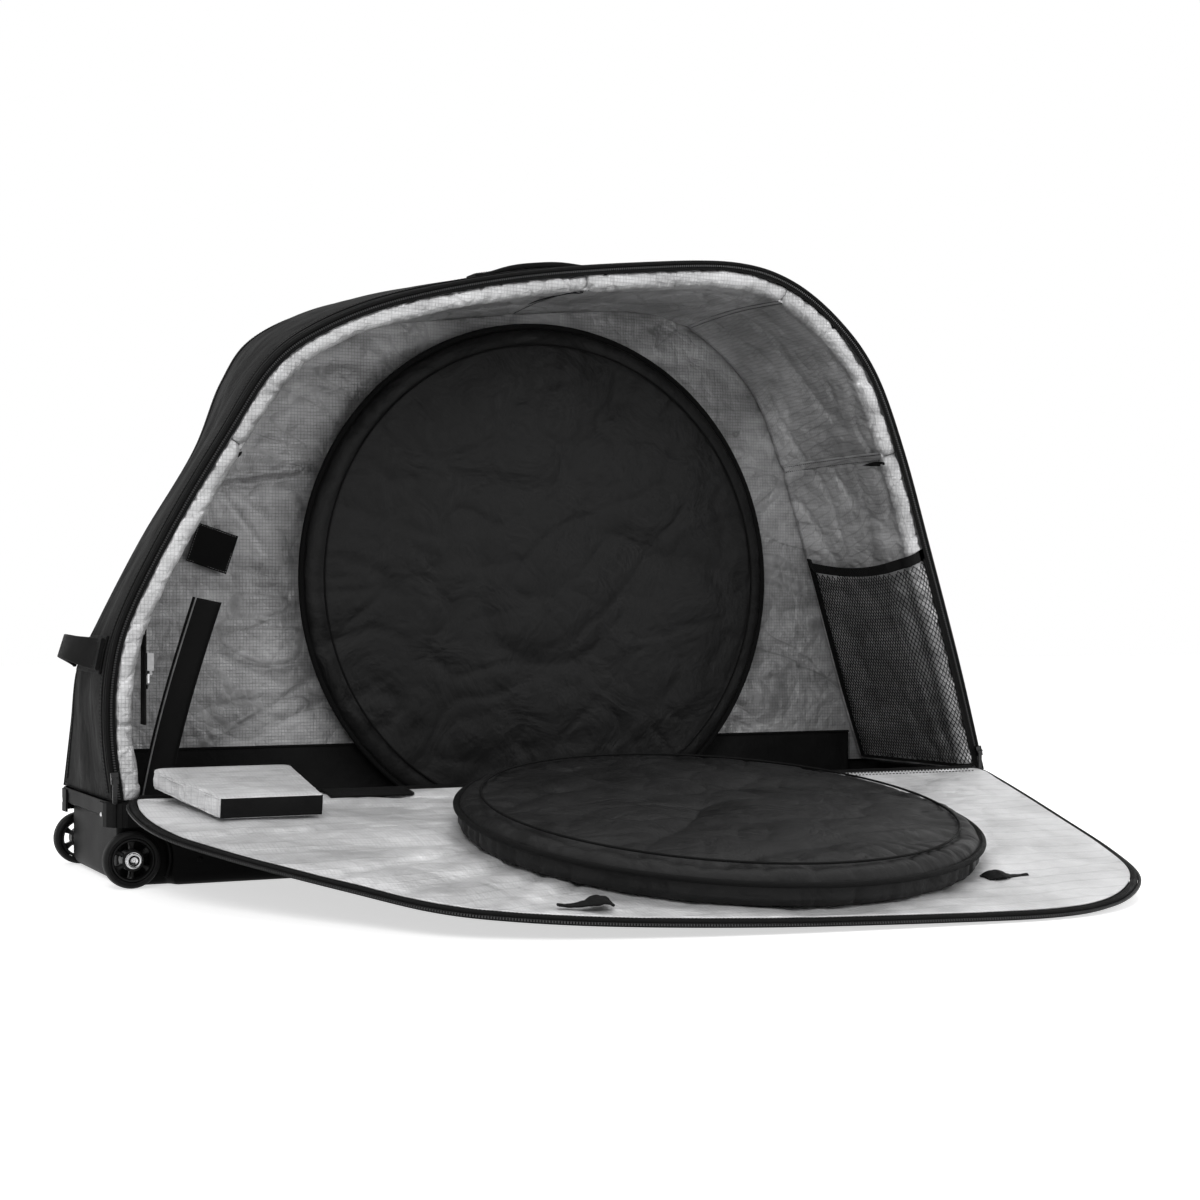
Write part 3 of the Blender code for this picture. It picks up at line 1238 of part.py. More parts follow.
def loose_pad(hinge, half):
    """Loose tapering pad that lies on the flap, with a black strip along its outer edge."""
    low = half + SEAT_GAP
    start = FLAP_START + LOOSE_PAD_HINGE_SPACE
    end = start + LOOSE_PAD_LENGTH
    back = LOOSE_PAD_BACK / 2
    front = LOOSE_PAD_FRONT / 2
    slant = LOOSE_PAD_SLANT
    corners = [(-LOOSE_PAD_X - back, start), (-LOOSE_PAD_X + back, start),
               (-LOOSE_PAD_X - slant + front, end), (-LOOSE_PAD_X - slant - front, end)]
    made = flat_piece("loose_pad", [corners], LOOSE_PAD_THICKNESS, SILVER_LINING, 0.5, parent=hinge)
    made.location = (0.0, 0.0, low + LOOSE_PAD_THICKNESS / 2)
    strip = LOOSE_PAD_STRIP
    x = -LOOSE_PAD_X - slant
    box("loose_pad_strip", (x - front, end + SEAT_GAP, low),
        (x + front, end + SEAT_GAP + strip, low + LOOSE_PAD_THICKNESS), BLACK_TRIM, 0.7,
        parent=hinge)


def flap_hinge():
    """Fabric hinge: a tape on the tub's front and a welt that the flap turns round."""
    left = FRONT_RUN[0].x + FLAP_EDGE_INSET + FLAP_CORNER_INSET * 2
    right = FRONT_RUN[-1].x - FLAP_EDGE_INSET - FLAP_CORNER_INSET * 2
    wheel_clear = WHEEL_X + ARCH_RADIUS + ARCH_BLEND
    outer = FRONT_Y - SEAT_GAP - HINGE_TAPE
    box("hinge_tape", (wheel_clear, outer, HINGE_HEIGHT - HINGE_TAPE_HEIGHT),
        (right, FRONT_Y - SEAT_GAP, HINGE_HEIGHT), BLACK_TRIM, 0.7)
    points = [(between((left, right), i / 4), HINGE_Y, HINGE_HEIGHT) for i in range(5)]
    tube("hinge_welt", points, HINGE_WELT_RADIUS, BLACK_TRIM, 0.7, resolution=2)


def main():
    """Model every piece of the bag."""
    base_tub()
    floor_pad()
    guard_rivets(corner_guards())
    transport_wheel("front", -1.0)
    transport_wheel("rear", 1.0)
    outer_shell()
    wall_pads()
    rim()
    kick_band()
    rear_wheel_bag()
    mesh_pocket()
    frame_strap()
    buckle_set()
    bare_patch()
    end_handle()
    top_handle()
    flap_hinge()
    front_flap()
    zip_sliders()


main()
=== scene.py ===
"""Looks of the open bike travel bag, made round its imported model. Metres, +Z up."""

import math
import random

import bmesh
import bpy
import numpy as np
from mathutils import Euler, Matrix, Vector, noise


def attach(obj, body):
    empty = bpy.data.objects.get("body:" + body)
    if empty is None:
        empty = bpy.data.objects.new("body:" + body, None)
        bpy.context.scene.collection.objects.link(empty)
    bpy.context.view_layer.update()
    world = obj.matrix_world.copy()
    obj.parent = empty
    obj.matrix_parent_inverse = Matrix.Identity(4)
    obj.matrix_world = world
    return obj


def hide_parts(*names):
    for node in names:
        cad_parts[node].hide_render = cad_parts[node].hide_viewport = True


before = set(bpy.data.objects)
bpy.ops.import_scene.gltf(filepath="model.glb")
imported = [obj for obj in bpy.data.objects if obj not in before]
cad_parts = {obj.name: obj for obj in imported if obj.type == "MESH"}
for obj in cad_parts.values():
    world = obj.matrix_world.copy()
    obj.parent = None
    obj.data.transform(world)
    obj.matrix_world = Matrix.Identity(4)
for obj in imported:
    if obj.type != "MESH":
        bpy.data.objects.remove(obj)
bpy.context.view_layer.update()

# Sizes of the model
LENGTH, HEIGHT, DEPTH = 1.426, 0.903, 0.317
FRONT_Y, BACK_Y = -DEPTH / 2, DEPTH / 2
TUB_H, TUB_WALL, TUB_END = 0.115, 0.004, 0.707
WHEEL_X, WHEEL_R, WHEEL_Y, WHEEL_W = -0.6784, 0.038, 0.160, 0.024
ARCH_R, ARCH_NEAR, END_INSET, END_KICK = 0.050, 0.1422, 0.014, 0.020
HINGE_Y, HINGE_Z = -0.1675, 0.118
REACH = HEIGHT - HINGE_Z - 0.012
TILT = math.asin((HINGE_Z - 0.0055) / REACH)
PAD_OUT, PAD_IN, BACK_PAD_Y = 0.0038, 0.0378, 0.1402
PLUS_Y = (0.0, 1.0, 0.0)

# Outlines of the opening and of the back, as shares of half the length and of the height
FRONT = ((-0.985, None), (-1.000, 0.221), (-0.997, 0.316), (-0.968, 0.405), (-0.884, 0.539),
         (-0.780, 0.678), (-0.690, 0.787), (-0.586, 0.850), (-0.421, 0.905), (-0.161, 0.955),
         (0.136, 0.988), (0.344, 1.000), (0.484, 0.977), (0.606, 0.915), (0.701, 0.828),
         (0.774, 0.695), (0.843, 0.526), (0.926, 0.313), (0.990, None))
BACK = ((-0.985, None), (-0.971, 0.227), (-0.958, 0.316), (-0.914, 0.393), (-0.826, 0.527),
        (-0.717, 0.673), (-0.659, 0.792), (-0.586, 0.872), (-0.421, 0.929), (-0.161, 0.961),
        (0.136, 0.989), (0.344, 0.997), (0.470, 0.972), (0.589, 0.910), (0.683, 0.825),
        (0.755, 0.692), (0.823, 0.526), (0.905, 0.313), (0.982, None))


# Materials

class Nodes:
    """A node tree and the few calls that it is made with."""

    def __init__(self, owner):
        owner.use_nodes = True
        self.tree = owner.node_tree

    def add(self, kind, **values):
        node = self.tree.nodes.new(kind)
        for key, value in values.items():
            if key in node.inputs:
                node.inputs[key].default_value = value
            else:
                setattr(node, key, value)
        return node

    def link(self, out, into):
        self.tree.links.new(out, into)

    def math(self, kind, a, b):
        node = self.add("ShaderNodeMath", operation=kind)
        for i, value in enumerate((a, b)):
            if isinstance(value, (int, float)):
                node.inputs[i].default_value = value
            else:
                self.link(value, node.inputs[i])
        return node.outputs[0]

    def seen(self):
        """1 for the camera's own rays and for those that metal or glass sends on."""
        rays = self.add("ShaderNodeLightPath").outputs
        direct = self.math("MAXIMUM", rays["Is Camera Ray"], rays["Is Glossy Ray"])
        return self.math("MAXIMUM", direct, rays["Is Transmission Ray"])


def grey(value, blue=1.01):
    return (value, value, value * blue, 1)


class Look(Nodes):
    """A Principled material, with the name of a slot that it keeps."""

    def __init__(self, name, slot, tone, roughness, metallic=0.0, specular=0.5):
        self.mat = bpy.data.materials.new(name)
        super().__init__(self.mat)
        self.slot, self.height = slot, None
        self.shader = self.tree.nodes["Principled BSDF"]
        for key, value in (("Base Color", grey(tone)), ("Roughness", roughness),
                           ("Metallic", metallic), ("Specular IOR Level", specular)):
            self.shader.inputs[key].default_value = value
        self.coords = self.add("ShaderNodeTexCoord")

    def place(self, scale=(1, 1, 1), rotation=(0, 0, 0), source="Object"):
        node = self.add("ShaderNodeMapping", Scale=scale, Rotation=rotation)
        self.link(self.coords.outputs[source], node.inputs["Vector"])
        return node.outputs["Vector"]

    def texture(self, kind, vector, out, **values):
        node = self.add("ShaderNodeTex" + kind, **values)
        self.link(vector or self.place(), node.inputs["Vector"])
        return node.outputs[out]

    def noise(self, scale, detail=4, rough=0.55, vector=None, distortion=0.0):
        return self.texture("Noise", vector, "Fac", Scale=scale, Detail=detail, Roughness=rough,
                            Distortion=distortion)

    def wave(self, scale, axis, vector, distortion):
        return self.texture("Wave", vector, "Fac", Scale=scale, Distortion=distortion,
                            wave_type="BANDS", bands_direction=axis)

    def weave(self, scale, distortion, low=0.0):
        """Threads along all three axes; above 0, low leaves only the middle of each thread."""
        vector, lines = self.place(), 0.0
        for axis in "XYZ":
            thread = self.wave(scale, axis, vector, distortion)
            lines = self.math("MAXIMUM", lines, self.ramp(thread, low, 1.0) if low else thread)
        return lines

    def ramp(self, fac, low, high, a=0.0, b=1.0):
        ends = {"From Min": low, "From Max": high, "To Min": a, "To Max": b}
        node = self.add("ShaderNodeMapRange", **ends)
        self.link(fac, node.inputs["Value"])
        return node.outputs["Result"]

    def bump(self, fac, depth, strength=1.0):
        """Add a layer of height, in metres, over the layers so far."""
        node = self.add("ShaderNodeBump", Strength=strength, Distance=depth)
        self.link(fac, node.inputs["Height"])
        if self.height is not None:
            self.link(self.height, node.inputs["Normal"])
        self.height = node.outputs["Normal"]
        self.link(self.height, self.shader.inputs["Normal"])

    def tint(self, fac, low, high, blue=1.01):
        """Vary the base colour between two greys."""
        node = self.add("ShaderNodeMix", data_type="RGBA")
        node.inputs["A"].default_value = grey(low, blue)
        node.inputs["B"].default_value = grey(high, blue)
        self.link(fac, node.inputs["Factor"])
        self.link(node.outputs["Result"], self.shader.inputs["Base Color"])

    def rough(self, fac, low, high):
        self.link(self.ramp(fac, 0.3, 0.7, low, high), self.shader.inputs["Roughness"])


def silver_look(name, low, high, crumple=1.0, metallic=0.30):
    """Silver woven lining: ripstop grid, soft creases, small crumples."""
    look = Look(name, "lining_silver", high, 0.45, metallic)
    lines = look.weave(62.0, 0.25, 0.90)
    cloud = look.noise(7.0, 5, 0.62, distortion=0.6)
    streak = look.noise(20.0, 4, 0.6, look.place((0.35, 0.35, 1.6), (0.5, 0.4, 0.3)))
    mix = look.math("ADD", look.math("MULTIPLY", cloud, 0.6), look.math("MULTIPLY", streak, 0.5))
    tone = look.math("SUBTRACT", look.ramp(mix, 0.35, 0.75), look.math("MULTIPLY", lines, 0.30))
    look.tint(tone, low, high)
    look.rough(cloud, 0.34, 0.55)
    folds = look.noise(9.0, 3, 0.5, look.place((1, 1, 0.45), (0.3, 0.7, 0.2)), 1.4)
    look.bump(folds, 0.010 * crumple, 0.55)
    # Straight-edged facets, as in stiff coated cloth that was folded hard
    for scale, depth, turn in ((9.0, 0.0030, 0.4), (21.0, 0.0018, 1.1), (44.0, 0.0009, 0.2)):
        edges = look.texture("Voronoi", look.place((1, 0.6, 1), (turn, 0.3, turn)), "Distance",
                             feature="DISTANCE_TO_EDGE", Scale=scale)
        look.bump(look.ramp(edges, 0.0, 0.30), depth * crumple, 0.6)
    look.bump(look.noise(75.0, 4, 0.6), 0.0009 * crumple, 0.5)
    look.bump(lines, 0.0005, 0.6)
    return look


def nylon_look(name, high=0.0110, fold=1.0, rough=0.70, specular=0.06):
    """Black coated nylon: close weave, soft folds, faint dust."""
    look = Look(name, "shell_nylon", high, rough, 0.0, specular)
    cloud = look.noise(9.0, 5, 0.6, distortion=0.5)
    look.tint(look.ramp(cloud, 0.3, 0.75), 0.0042, high)
    look.rough(cloud, rough - 0.10, rough + 0.12)
    look.bump(look.noise(11.0, 4, 0.5, distortion=1.2), 0.010 * fold, 0.5)
    look.bump(look.noise(48.0, 4, 0.6), 0.0020 * fold, 0.4)
    look.bump(look.weave(420, 0.3), 0.00022, 0.5)
    return look


def webbing_look(name, low, high, pitch):
    """Black woven webbing and tape, ribbed across its length (UV in metres)."""
    look = Look(name, "trim_black", high, 0.66, 0.0, 0.09)
    uv = look.place(source="UV")
    rib = look.wave(pitch, "X", uv, 0.4)
    cloud = look.noise(20.0, 4, 0.6)
    look.tint(look.math("MULTIPLY", look.ramp(cloud, 0.3, 0.7, 0.5, 1.0), rib), low, high)
    look.rough(cloud, 0.50, 0.75)
    look.bump(look.noise(24.0, 3, 0.5), 0.002, 0.4)
    look.bump(rib, 0.0004, 0.8)
    look.bump(look.wave(pitch * 0.55, "Y", uv, 0.2), 0.0002, 0.6)
    return look


def plastic_look(name, slot, low=0.0030, high=0.0074, rough=0.50, grain=0.0003, specular=0.07):
    """Moulded black plastic: fine spark grain, scuffs that catch the light."""
    look = Look(name, slot, high, rough, 0.0, specular)
    scuff = look.noise(30.0, 6, 0.7, look.place((0.3, 1, 1.4)), 0.8)
    look.tint(look.ramp(scuff, 0.35, 0.80), low, high)
    look.rough(look.noise(5.0, 3, 0.5), rough - 0.08, rough + 0.14)
    look.bump(look.noise(900.0, 3, 0.6), grain, 0.5)
    look.bump(look.noise(14.0, 2, 0.5), 0.0015, 0.25)
    return look


def rubber_look(name):
    """Solid wheel rubber with mould marks and floor dust."""
    look = Look(name, "tyre", 0.008, 0.58, 0.0, 0.12)
    dust = look.noise(60.0, 6, 0.7, distortion=0.4)
    look.tint(look.ramp(dust, 0.45, 0.85), 0.004, 0.014)
    look.rough(dust, 0.42, 0.70)
    look.bump(look.noise(260.0, 4, 0.6), 0.0005, 0.5)
    return look


def metal_look(name, slot, rough, tone):
    """Plated or cast metal, faintly brushed."""
    look = Look(name, slot, tone, rough, 1.0)
    brush = look.noise(300.0, 4, 0.7, look.place((0.2, 1, 1)))
    look.tint(look.ramp(brush, 0.3, 0.7), tone * 0.8, tone * 1.1)
    look.rough(brush, rough - 0.06, rough + 0.10)
    look.bump(brush, 0.0001, 0.4)
    return look


SILVER_WALL = silver_look("lining_walls", 0.26, 0.68, 1.9)
# Darker copy of the one silver lining for the back: painted shade of the bag's inside in its tones
SILVER_BACK_SHADED = silver_look("lining_back_painted_shade", 0.15, 0.44, 1.1)
# Lighter copies of the one silver lining for the flap and the loose pad: painted light in their tones where
# they lie open to the lamps
SILVER_FLAP_LIT = silver_look("lining_flap_painted_light", 0.44, 0.80, 1.0, 0.22)
SILVER_PAD_LIT = silver_look("lining_loose_pad_painted_light", 0.46, 0.80, 1.0, 0.22)
NYLON = nylon_look("nylon_shell")
NYLON_BAG = nylon_look("nylon_wheel_bags", 0.0120, 1.8, 0.50, 0.14)
WEBBING = webbing_look("webbing", 0.0040, 0.0110, 500.0)
TAPE = webbing_look("tape", 0.0034, 0.0090, 700.0)
PLASTIC = plastic_look("tub_plastic", "tub_plastic")
HUB_PLASTIC = plastic_look("hub_plastic", "hub_plastic", 0.0030, 0.0080, 0.36, 0.0002, 0.16)
BOARD = plastic_look("board_plastic", "trim_black", 0.005, 0.012)
# Light grey plastic for the strap's stiff black edge: a painted highlight
STRAP_EDGE_HIGHLIGHT = plastic_look("strap_edge", "trim_black", 0.10, 0.22, 0.40, 0.0002, 0.3)
RUBBER = rubber_look("wheel_rubber")
STEEL = metal_look("plated_steel", "steel", 0.18, 0.62)
ZIP_METAL = metal_look("zip_teeth", "trim_black", 0.34, 0.06)
DARK_METAL = metal_look("dark_zip_metal", "steel", 0.30, 0.035)
CAST_METAL = metal_look("cast_buckle_metal", "steel", 0.34, 0.30)


# Geometry of the wall

def unit(v):
    return v / np.linalg.norm(v, axis=-1, keepdims=True)


def clamp(v):
    return min(max(v, 0.0), 1.0)


def lengths(path):
    """Distance along a path at each of its points."""
    return np.concatenate([[0], np.cumsum(np.linalg.norm(np.diff(path, axis=0), axis=1))])


def spline(shares, per_span=16):
    """Catmull-Rom through an outline given in shares, as an array of (x, z)."""
    foot = TUB_H + 0.0003
    pts = np.array([(x * LENGTH / 2, foot if z is None else z * HEIGHT) for x, z in shares])
    knots = np.vstack([2 * pts[0] - pts[1], pts, 2 * pts[-1] - pts[-2]])
    t = np.arange(per_span) / per_span
    out = []
    for a, b, c, d in zip(knots, knots[1:], knots[2:], knots[3:]):
        out.append(0.5 * (2 * b + np.outer(t, c - a) + np.outer(t ** 2, 2 * a - 5 * b + 4 * c - d)
                          + np.outer(t ** 3, 3 * b - a - 3 * c + d)))
    return np.vstack(out + [pts[-1:]])


def normals(run):
    """Outward normals of an outline, level at both feet."""
    d = np.gradient(run, axis=0)
    n = unit(np.stack([-d[:, 1], d[:, 0]], 1))
    level = np.clip(np.minimum(S_KNOTS, 1 - S_KNOTS) * 18, 0, 1)[:, None]
    flat = np.where(S_KNOTS[:, None] < 0.5, (-1.0, 0.0), (1.0, 0.0))
    return unit(n * level + flat * (1 - level))


F_RUN, B_RUN = spline(FRONT), spline(BACK)
S_KNOTS = np.linspace(0, 1, len(F_RUN))
F_NORM, B_NORM = normals(F_RUN), normals(B_RUN)
RUN_LENGTH = lengths(F_RUN)
RUN_END = RUN_LENGTH[-1]


def take(table, s):
    return np.stack([np.interp(s, S_KNOTS, table[:, k]) for k in (0, 1)], -1)


def wall(s, y, inset):
    """Points of the bag's wall at a share of the run, a depth and an inset."""
    s, y, inset = np.broadcast_arrays(*[np.asarray(v, float) for v in (s, y, inset)])
    k = ((y - FRONT_Y) / DEPTH)[..., None]
    base = take(F_RUN, s) * (1 - k) + take(B_RUN, s) * k
    n = unit(take(F_NORM, s) * (1 - k) + take(B_NORM, s) * k)
    foot = np.minimum(np.minimum(s, 1 - s) * 9, 1)[..., None]
    belly = 0.008 * np.sin(math.pi * np.clip(k, 0, 1)) * foot
    p = base + n * (belly - inset[..., None])
    return np.stack([p[..., 0], y, np.maximum(p[..., 1], TUB_H + 0.0004)], -1)


def run_metres(s):
    return np.interp(s, S_KNOTS, RUN_LENGTH)


def share_at(metres):
    return np.interp(metres, RUN_LENGTH, S_KNOTS)


# Helpers for meshes

def piece(name, points, faces, look, body="bag", nodes=(), smooth=True, slot=None, uv=None):
    """Make a mesh, orient it, and set its body, material and the CAD nodes it stands for."""
    mesh = bpy.data.meshes.new(name)
    mesh.from_pydata(np.asarray(points).tolist(), [], faces)
    if uv is not None:
        loops = np.zeros(len(mesh.loops), int)
        mesh.loops.foreach_get("vertex_index", loops)
        layer = mesh.uv_layers.new(name="UVMap")
        layer.data.foreach_set("uv", uv[loops].astype(np.float32).ravel())
    bm = bmesh.new()
    bm.from_mesh(mesh)
    bmesh.ops.remove_doubles(bm, verts=bm.verts, dist=1e-7)
    bmesh.ops.recalc_face_normals(bm, faces=bm.faces)
    if all(e.is_manifold for e in bm.edges) and bm.calc_volume(signed=True) < 0:
        bmesh.ops.reverse_faces(bm, faces=bm.faces)
    bm.to_mesh(mesh)
    bm.free()
    if smooth:
        mesh.shade_smooth()
        if smooth is not True:
            mesh.set_sharp_from_angle(angle=math.radians(smooth))
    obj = bpy.data.objects.new(name, mesh)
    bpy.context.scene.collection.objects.link(obj)
    mesh.materials.append(look.mat)
    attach(obj, body)
    if nodes:
        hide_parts(*nodes)
    slot or look.slot
    return obj


def grid_mesh(name, points, look, body="bag", nodes=(), form="sheet", smooth=True, slot=None):
    """Make a piece from a grid of points (nu, nv, 3), with UVs in metres.

    A bar is closed across and capped, a ring is closed both ways, and a disc is closed along with
    both its middles filled.
    """
    nu, nv = points.shape[:2]
    a, b = np.meshgrid(np.arange(nu if form in ("ring", "disc") else nu - 1),
                       np.arange(nv if form in ("ring", "bar") else nv - 1), indexing="ij")
    a2, b2 = (a + 1) % nu, (b + 1) % nv
    faces = np.stack([a * nv + b, a2 * nv + b, a2 * nv + b2, a * nv + b2], -1).reshape(-1, 4).tolist()
    if form == "bar":
        faces += [list(range(nv))[::-1], list(range((nu - 1) * nv, nu * nv))]
    if form == "disc":
        faces += [list(range(0, nu * nv, nv)), list(range(nv - 1, nu * nv, nv))[::-1]]
    u, v = np.meshgrid(lengths(points[:, nv // 2]), lengths(points[nu // 2]), indexing="ij")
    uv = np.stack([u, v], -1).reshape(-1, 2)
    return piece(name, points.reshape(-1, 3), faces, look, body, nodes, smooth, slot, uv)


def thicken(obj, thickness, offset=-1.0):
    solid = obj.modifiers.new("cloth", "SOLIDIFY")
    solid.thickness = thickness
    solid.offset = offset
    return obj


def displace(obj, height):
    """Move each vertex along its normal by height(point, normal)."""
    mesh = obj.data
    co, no = np.zeros((2, len(mesh.vertices) * 3))
    mesh.vertices.foreach_get("co", co)
    mesh.vertices.foreach_get("normal", no)
    co, no = co.reshape(-1, 3), no.reshape(-1, 3)
    d = np.array([height(Vector(p), Vector(n)) for p, n in zip(co, no)])
    mesh.vertices.foreach_set("co", (co + no * d[:, None]).ravel())
    mesh.update()


def soft(p, scale):
    return noise.noise(Vector(p) * scale)


def crease(depth, p, scale, power=2):
    """Sharp valleys of a depth, 0 away from them."""
    return -depth * (1 - min(abs(soft(p, scale)) * 3.2, 1.0)) ** power


def facet(depth, p, scale, power=2):
    """Flat facets with sharp valleys of a depth between them."""
    near = noise.voronoi(Vector(p) * scale)[0]
    return -depth * (1 - min((near[1] - near[0]) * 1.6, 1.0)) ** power


def field(height, *grids):
    """Array of height(value, ...) over grids of one shape."""
    return np.vectorize(height, otypes=[float])(*grids)


def plane(u, v):
    return np.meshgrid(u, v, indexing="ij")


def xyz(x, y, z):
    """Points from their coordinates, each an array or one number."""
    return np.stack(np.broadcast_arrays(x, y, z), -1)


def turned(at, *angles):
    return Matrix.Translation(at) @ Euler(angles).to_matrix().to_4x4()


def moved(points, matrix):
    m = np.array(matrix)
    return points @ m[:3, :3].T + m[:3, 3]


def ring_loft(name, path, across, up, section, look, body="bag", form="bar", nodes=(), smooth=True):
    """Sweep a closed section (k, 2) along a path with frames given by across and up."""
    across, up = (np.broadcast_to(v, path.shape)[:, None] for v in (across, up))
    pts = path[:, None] + across * section[None, :, :1] + up * section[None, :, 1:]
    return grid_mesh(name, pts, look, body, nodes, form, smooth)


def rounded(w, h, r, n=4):
    """Closed rounded rectangle section, w by h, centred."""
    x, y = w / 2 - r, h / 2 - r
    out = []
    for cx, cy, start in ((x, y, 0), (-x, y, 90), (-x, -y, 180), (x, -y, 270)):
        for i in range(n + 1):
            a = math.radians(start + 90 * i / n)
            out.append((cx + r * math.cos(a), cy + r * math.sin(a)))
    return np.array(out)


def tangents(path, closed=False):
    return unit(np.roll(path, -1, 0) - np.roll(path, 1, 0) if closed else np.gradient(path, axis=0))


def resample(path, step, closed=False):
    """Resample a path at an even spacing."""
    if closed:
        path = np.vstack([path, path[:1]])
    length = lengths(path)
    at = np.linspace(0, length[-1], max(int(length[-1] / step), 3) + 1)
    out = np.stack([np.interp(at, length, path[:, k]) for k in range(path.shape[1])], -1)
    return out[:-1] if closed else out


def circle(count):
    return np.linspace(0, 2 * math.pi, count, endpoint=False)


def tube(name, path, radius, look, body="bag", form="bar", sides=10, nodes=()):
    """Round tube along a path."""
    t = tangents(path, form == "ring")
    tries = ((PLUS_Y, 0.9), ((0.0, 0.0, 1.0), 0.97), ((0.31, 0.22, 0.92), 2.0))
    side = next(v for v, most in tries if np.abs(t @ np.array(v)).max() <= most)
    across = unit(np.cross(t, side))
    section = radius * np.stack([np.cos(circle(sides)), np.sin(circle(sides))], -1)
    return ring_loft(name, path, across, np.cross(across, t), section, look, body, form, nodes)


def blocks(name, centres, x_axes, y_axes, z_axes, size, look, body="bag", slot=None):
    """Many small blocks in one piece, such as zip teeth or stitches, with tapered ends."""
    corners = np.array([(-1, -1, -1), (1, -1, -1), (1, 1, -1), (-1, 1, -1),
                        (-.7, -.6, 1), (.7, -.6, 1), (.7, .6, 1), (-.7, .6, 1)]) * np.array(size) / 2
    sides = [(0, 3, 2, 1), (4, 5, 6, 7), (0, 1, 5, 4), (1, 2, 6, 5), (2, 3, 7, 6), (3, 0, 4, 7)]
    x, y, z = (np.broadcast_to(v, centres.shape)[:, None] for v in (x_axes, y_axes, z_axes))
    pts = centres[:, None] + x * corners[:, :1] + y * corners[:, 1:2] + z * corners[:, 2:]
    faces = (np.array(sides) + 8 * np.arange(len(centres))[:, None, None]).reshape(-1, 4).tolist()
    return piece(name, pts.reshape(-1, 3), faces, look, body, (), False, slot)


def thread(name, path, normal, size, look, closed=False):
    """Stitches along a path on a surface that has these normals."""
    along, normal = tangents(path, closed), np.broadcast_to(normal, path.shape)
    blocks(name, path, along, np.cross(normal, along), normal, size, look, slot="trim_black")


def lathe(name, profile, centre, axis, look, body="bag", steps=64, nodes=(), smooth=40):
    """Turn a closed profile of (radius, height) about an axis through a centre."""
    prof = np.array(profile, float)
    axis = Vector(axis).normalized()
    side = axis.orthogonal().normalized()
    a = circle(steps)[:, None]
    ring = np.array(side) * np.cos(a) + np.array(axis.cross(side)) * np.sin(a)
    pts = np.array(centre) + ring[:, None] * prof[:, :1] + np.array(axis) * prof[:, 1:]
    return grid_mesh(name, pts, look, body, nodes, "ring", smooth)


# Shell

def side_wall():
    """Outer nylon wall with its soft folds and lapped seam lines."""
    s = share_at(np.linspace(0, RUN_END, 420))
    y = np.linspace(FRONT_Y + 0.003, BACK_Y, 44)
    outer = grid_mesh("side_wall_fabric", wall(s[:, None], y, 0.0), NYLON, nodes=["side_wall"])

    def folds(p, n):
        middle = max(math.sin(math.pi * (p.y - FRONT_Y) / DEPTH), 0.0)
        drape = 0.0050 * soft((p.x * 1.2, p.y * 5.0, p.z * 1.2), 3.0)
        return (drape + crease(0.0016, (p.x, p.y * 2.2, p.z), 5.5, 3)) * middle * clamp((p.z - TUB_H) / 0.05)

    displace(outer, folds)
    thicken(outer, 0.0028)
    rows = share_at(np.arange(0.006, RUN_END - 0.006, 0.0052))
    for y_at, name in ((FRONT_Y + 0.022, "side_seam_front"), (BACK_Y - 0.018, "side_seam_back")):
        pts = wall(s[2:-2], y_at, -0.0004)
        up = unit(pts - wall(s[2:-2], y_at, 0.0096))
        ring_loft(name, pts, PLUS_Y, up, rounded(0.011, 0.0016, 0.0007, 2), NYLON)
        for side, label in ((-0.0042, "a"), (0.0042, "b")):
            at = wall(rows, y_at + side, -0.0014)
            normal = np.cross(tangents(at), PLUS_Y)
            thread(f"{name}_thread_{label}", at, normal, (0.0034, 0.0007, 0.0006), TAPE)
    tube("back_seam_piping", resample(wall(s, BACK_Y, 0.002), 0.006), 0.0030, TAPE)


def fan(outline, rows):
    """Grid between the straight line that joins an outline's ends and the outline, as (ns, rows, 2)."""
    t = np.linspace(0, 1, len(outline))[:, None]
    foot = outline[0] * (1 - t) + outline[-1] * t
    k = np.linspace(0, 1, rows)[None, :, None]
    return foot[:, None] * (1 - k) + outline[:, None] * k


def upright_panel(name, y, inset, look, node, bulge, height, nu=300, nv=120):
    """Upright panel that fills the wall's outline at a depth, bulging toward +Y."""
    edge = wall(share_at(np.linspace(0, RUN_END, nu)), y, inset)[:, (0, 2)]
    xz = fan(edge, nv)
    k, r = (np.sin(math.pi * np.linspace(0, 1, n)) ** 0.6 for n in (nv, nu))
    obj = grid_mesh(name, xyz(xz[..., 0], y + bulge * r[:, None] * k, xz[..., 1]), look, nodes=[node])
    displace(obj, height)
    return obj


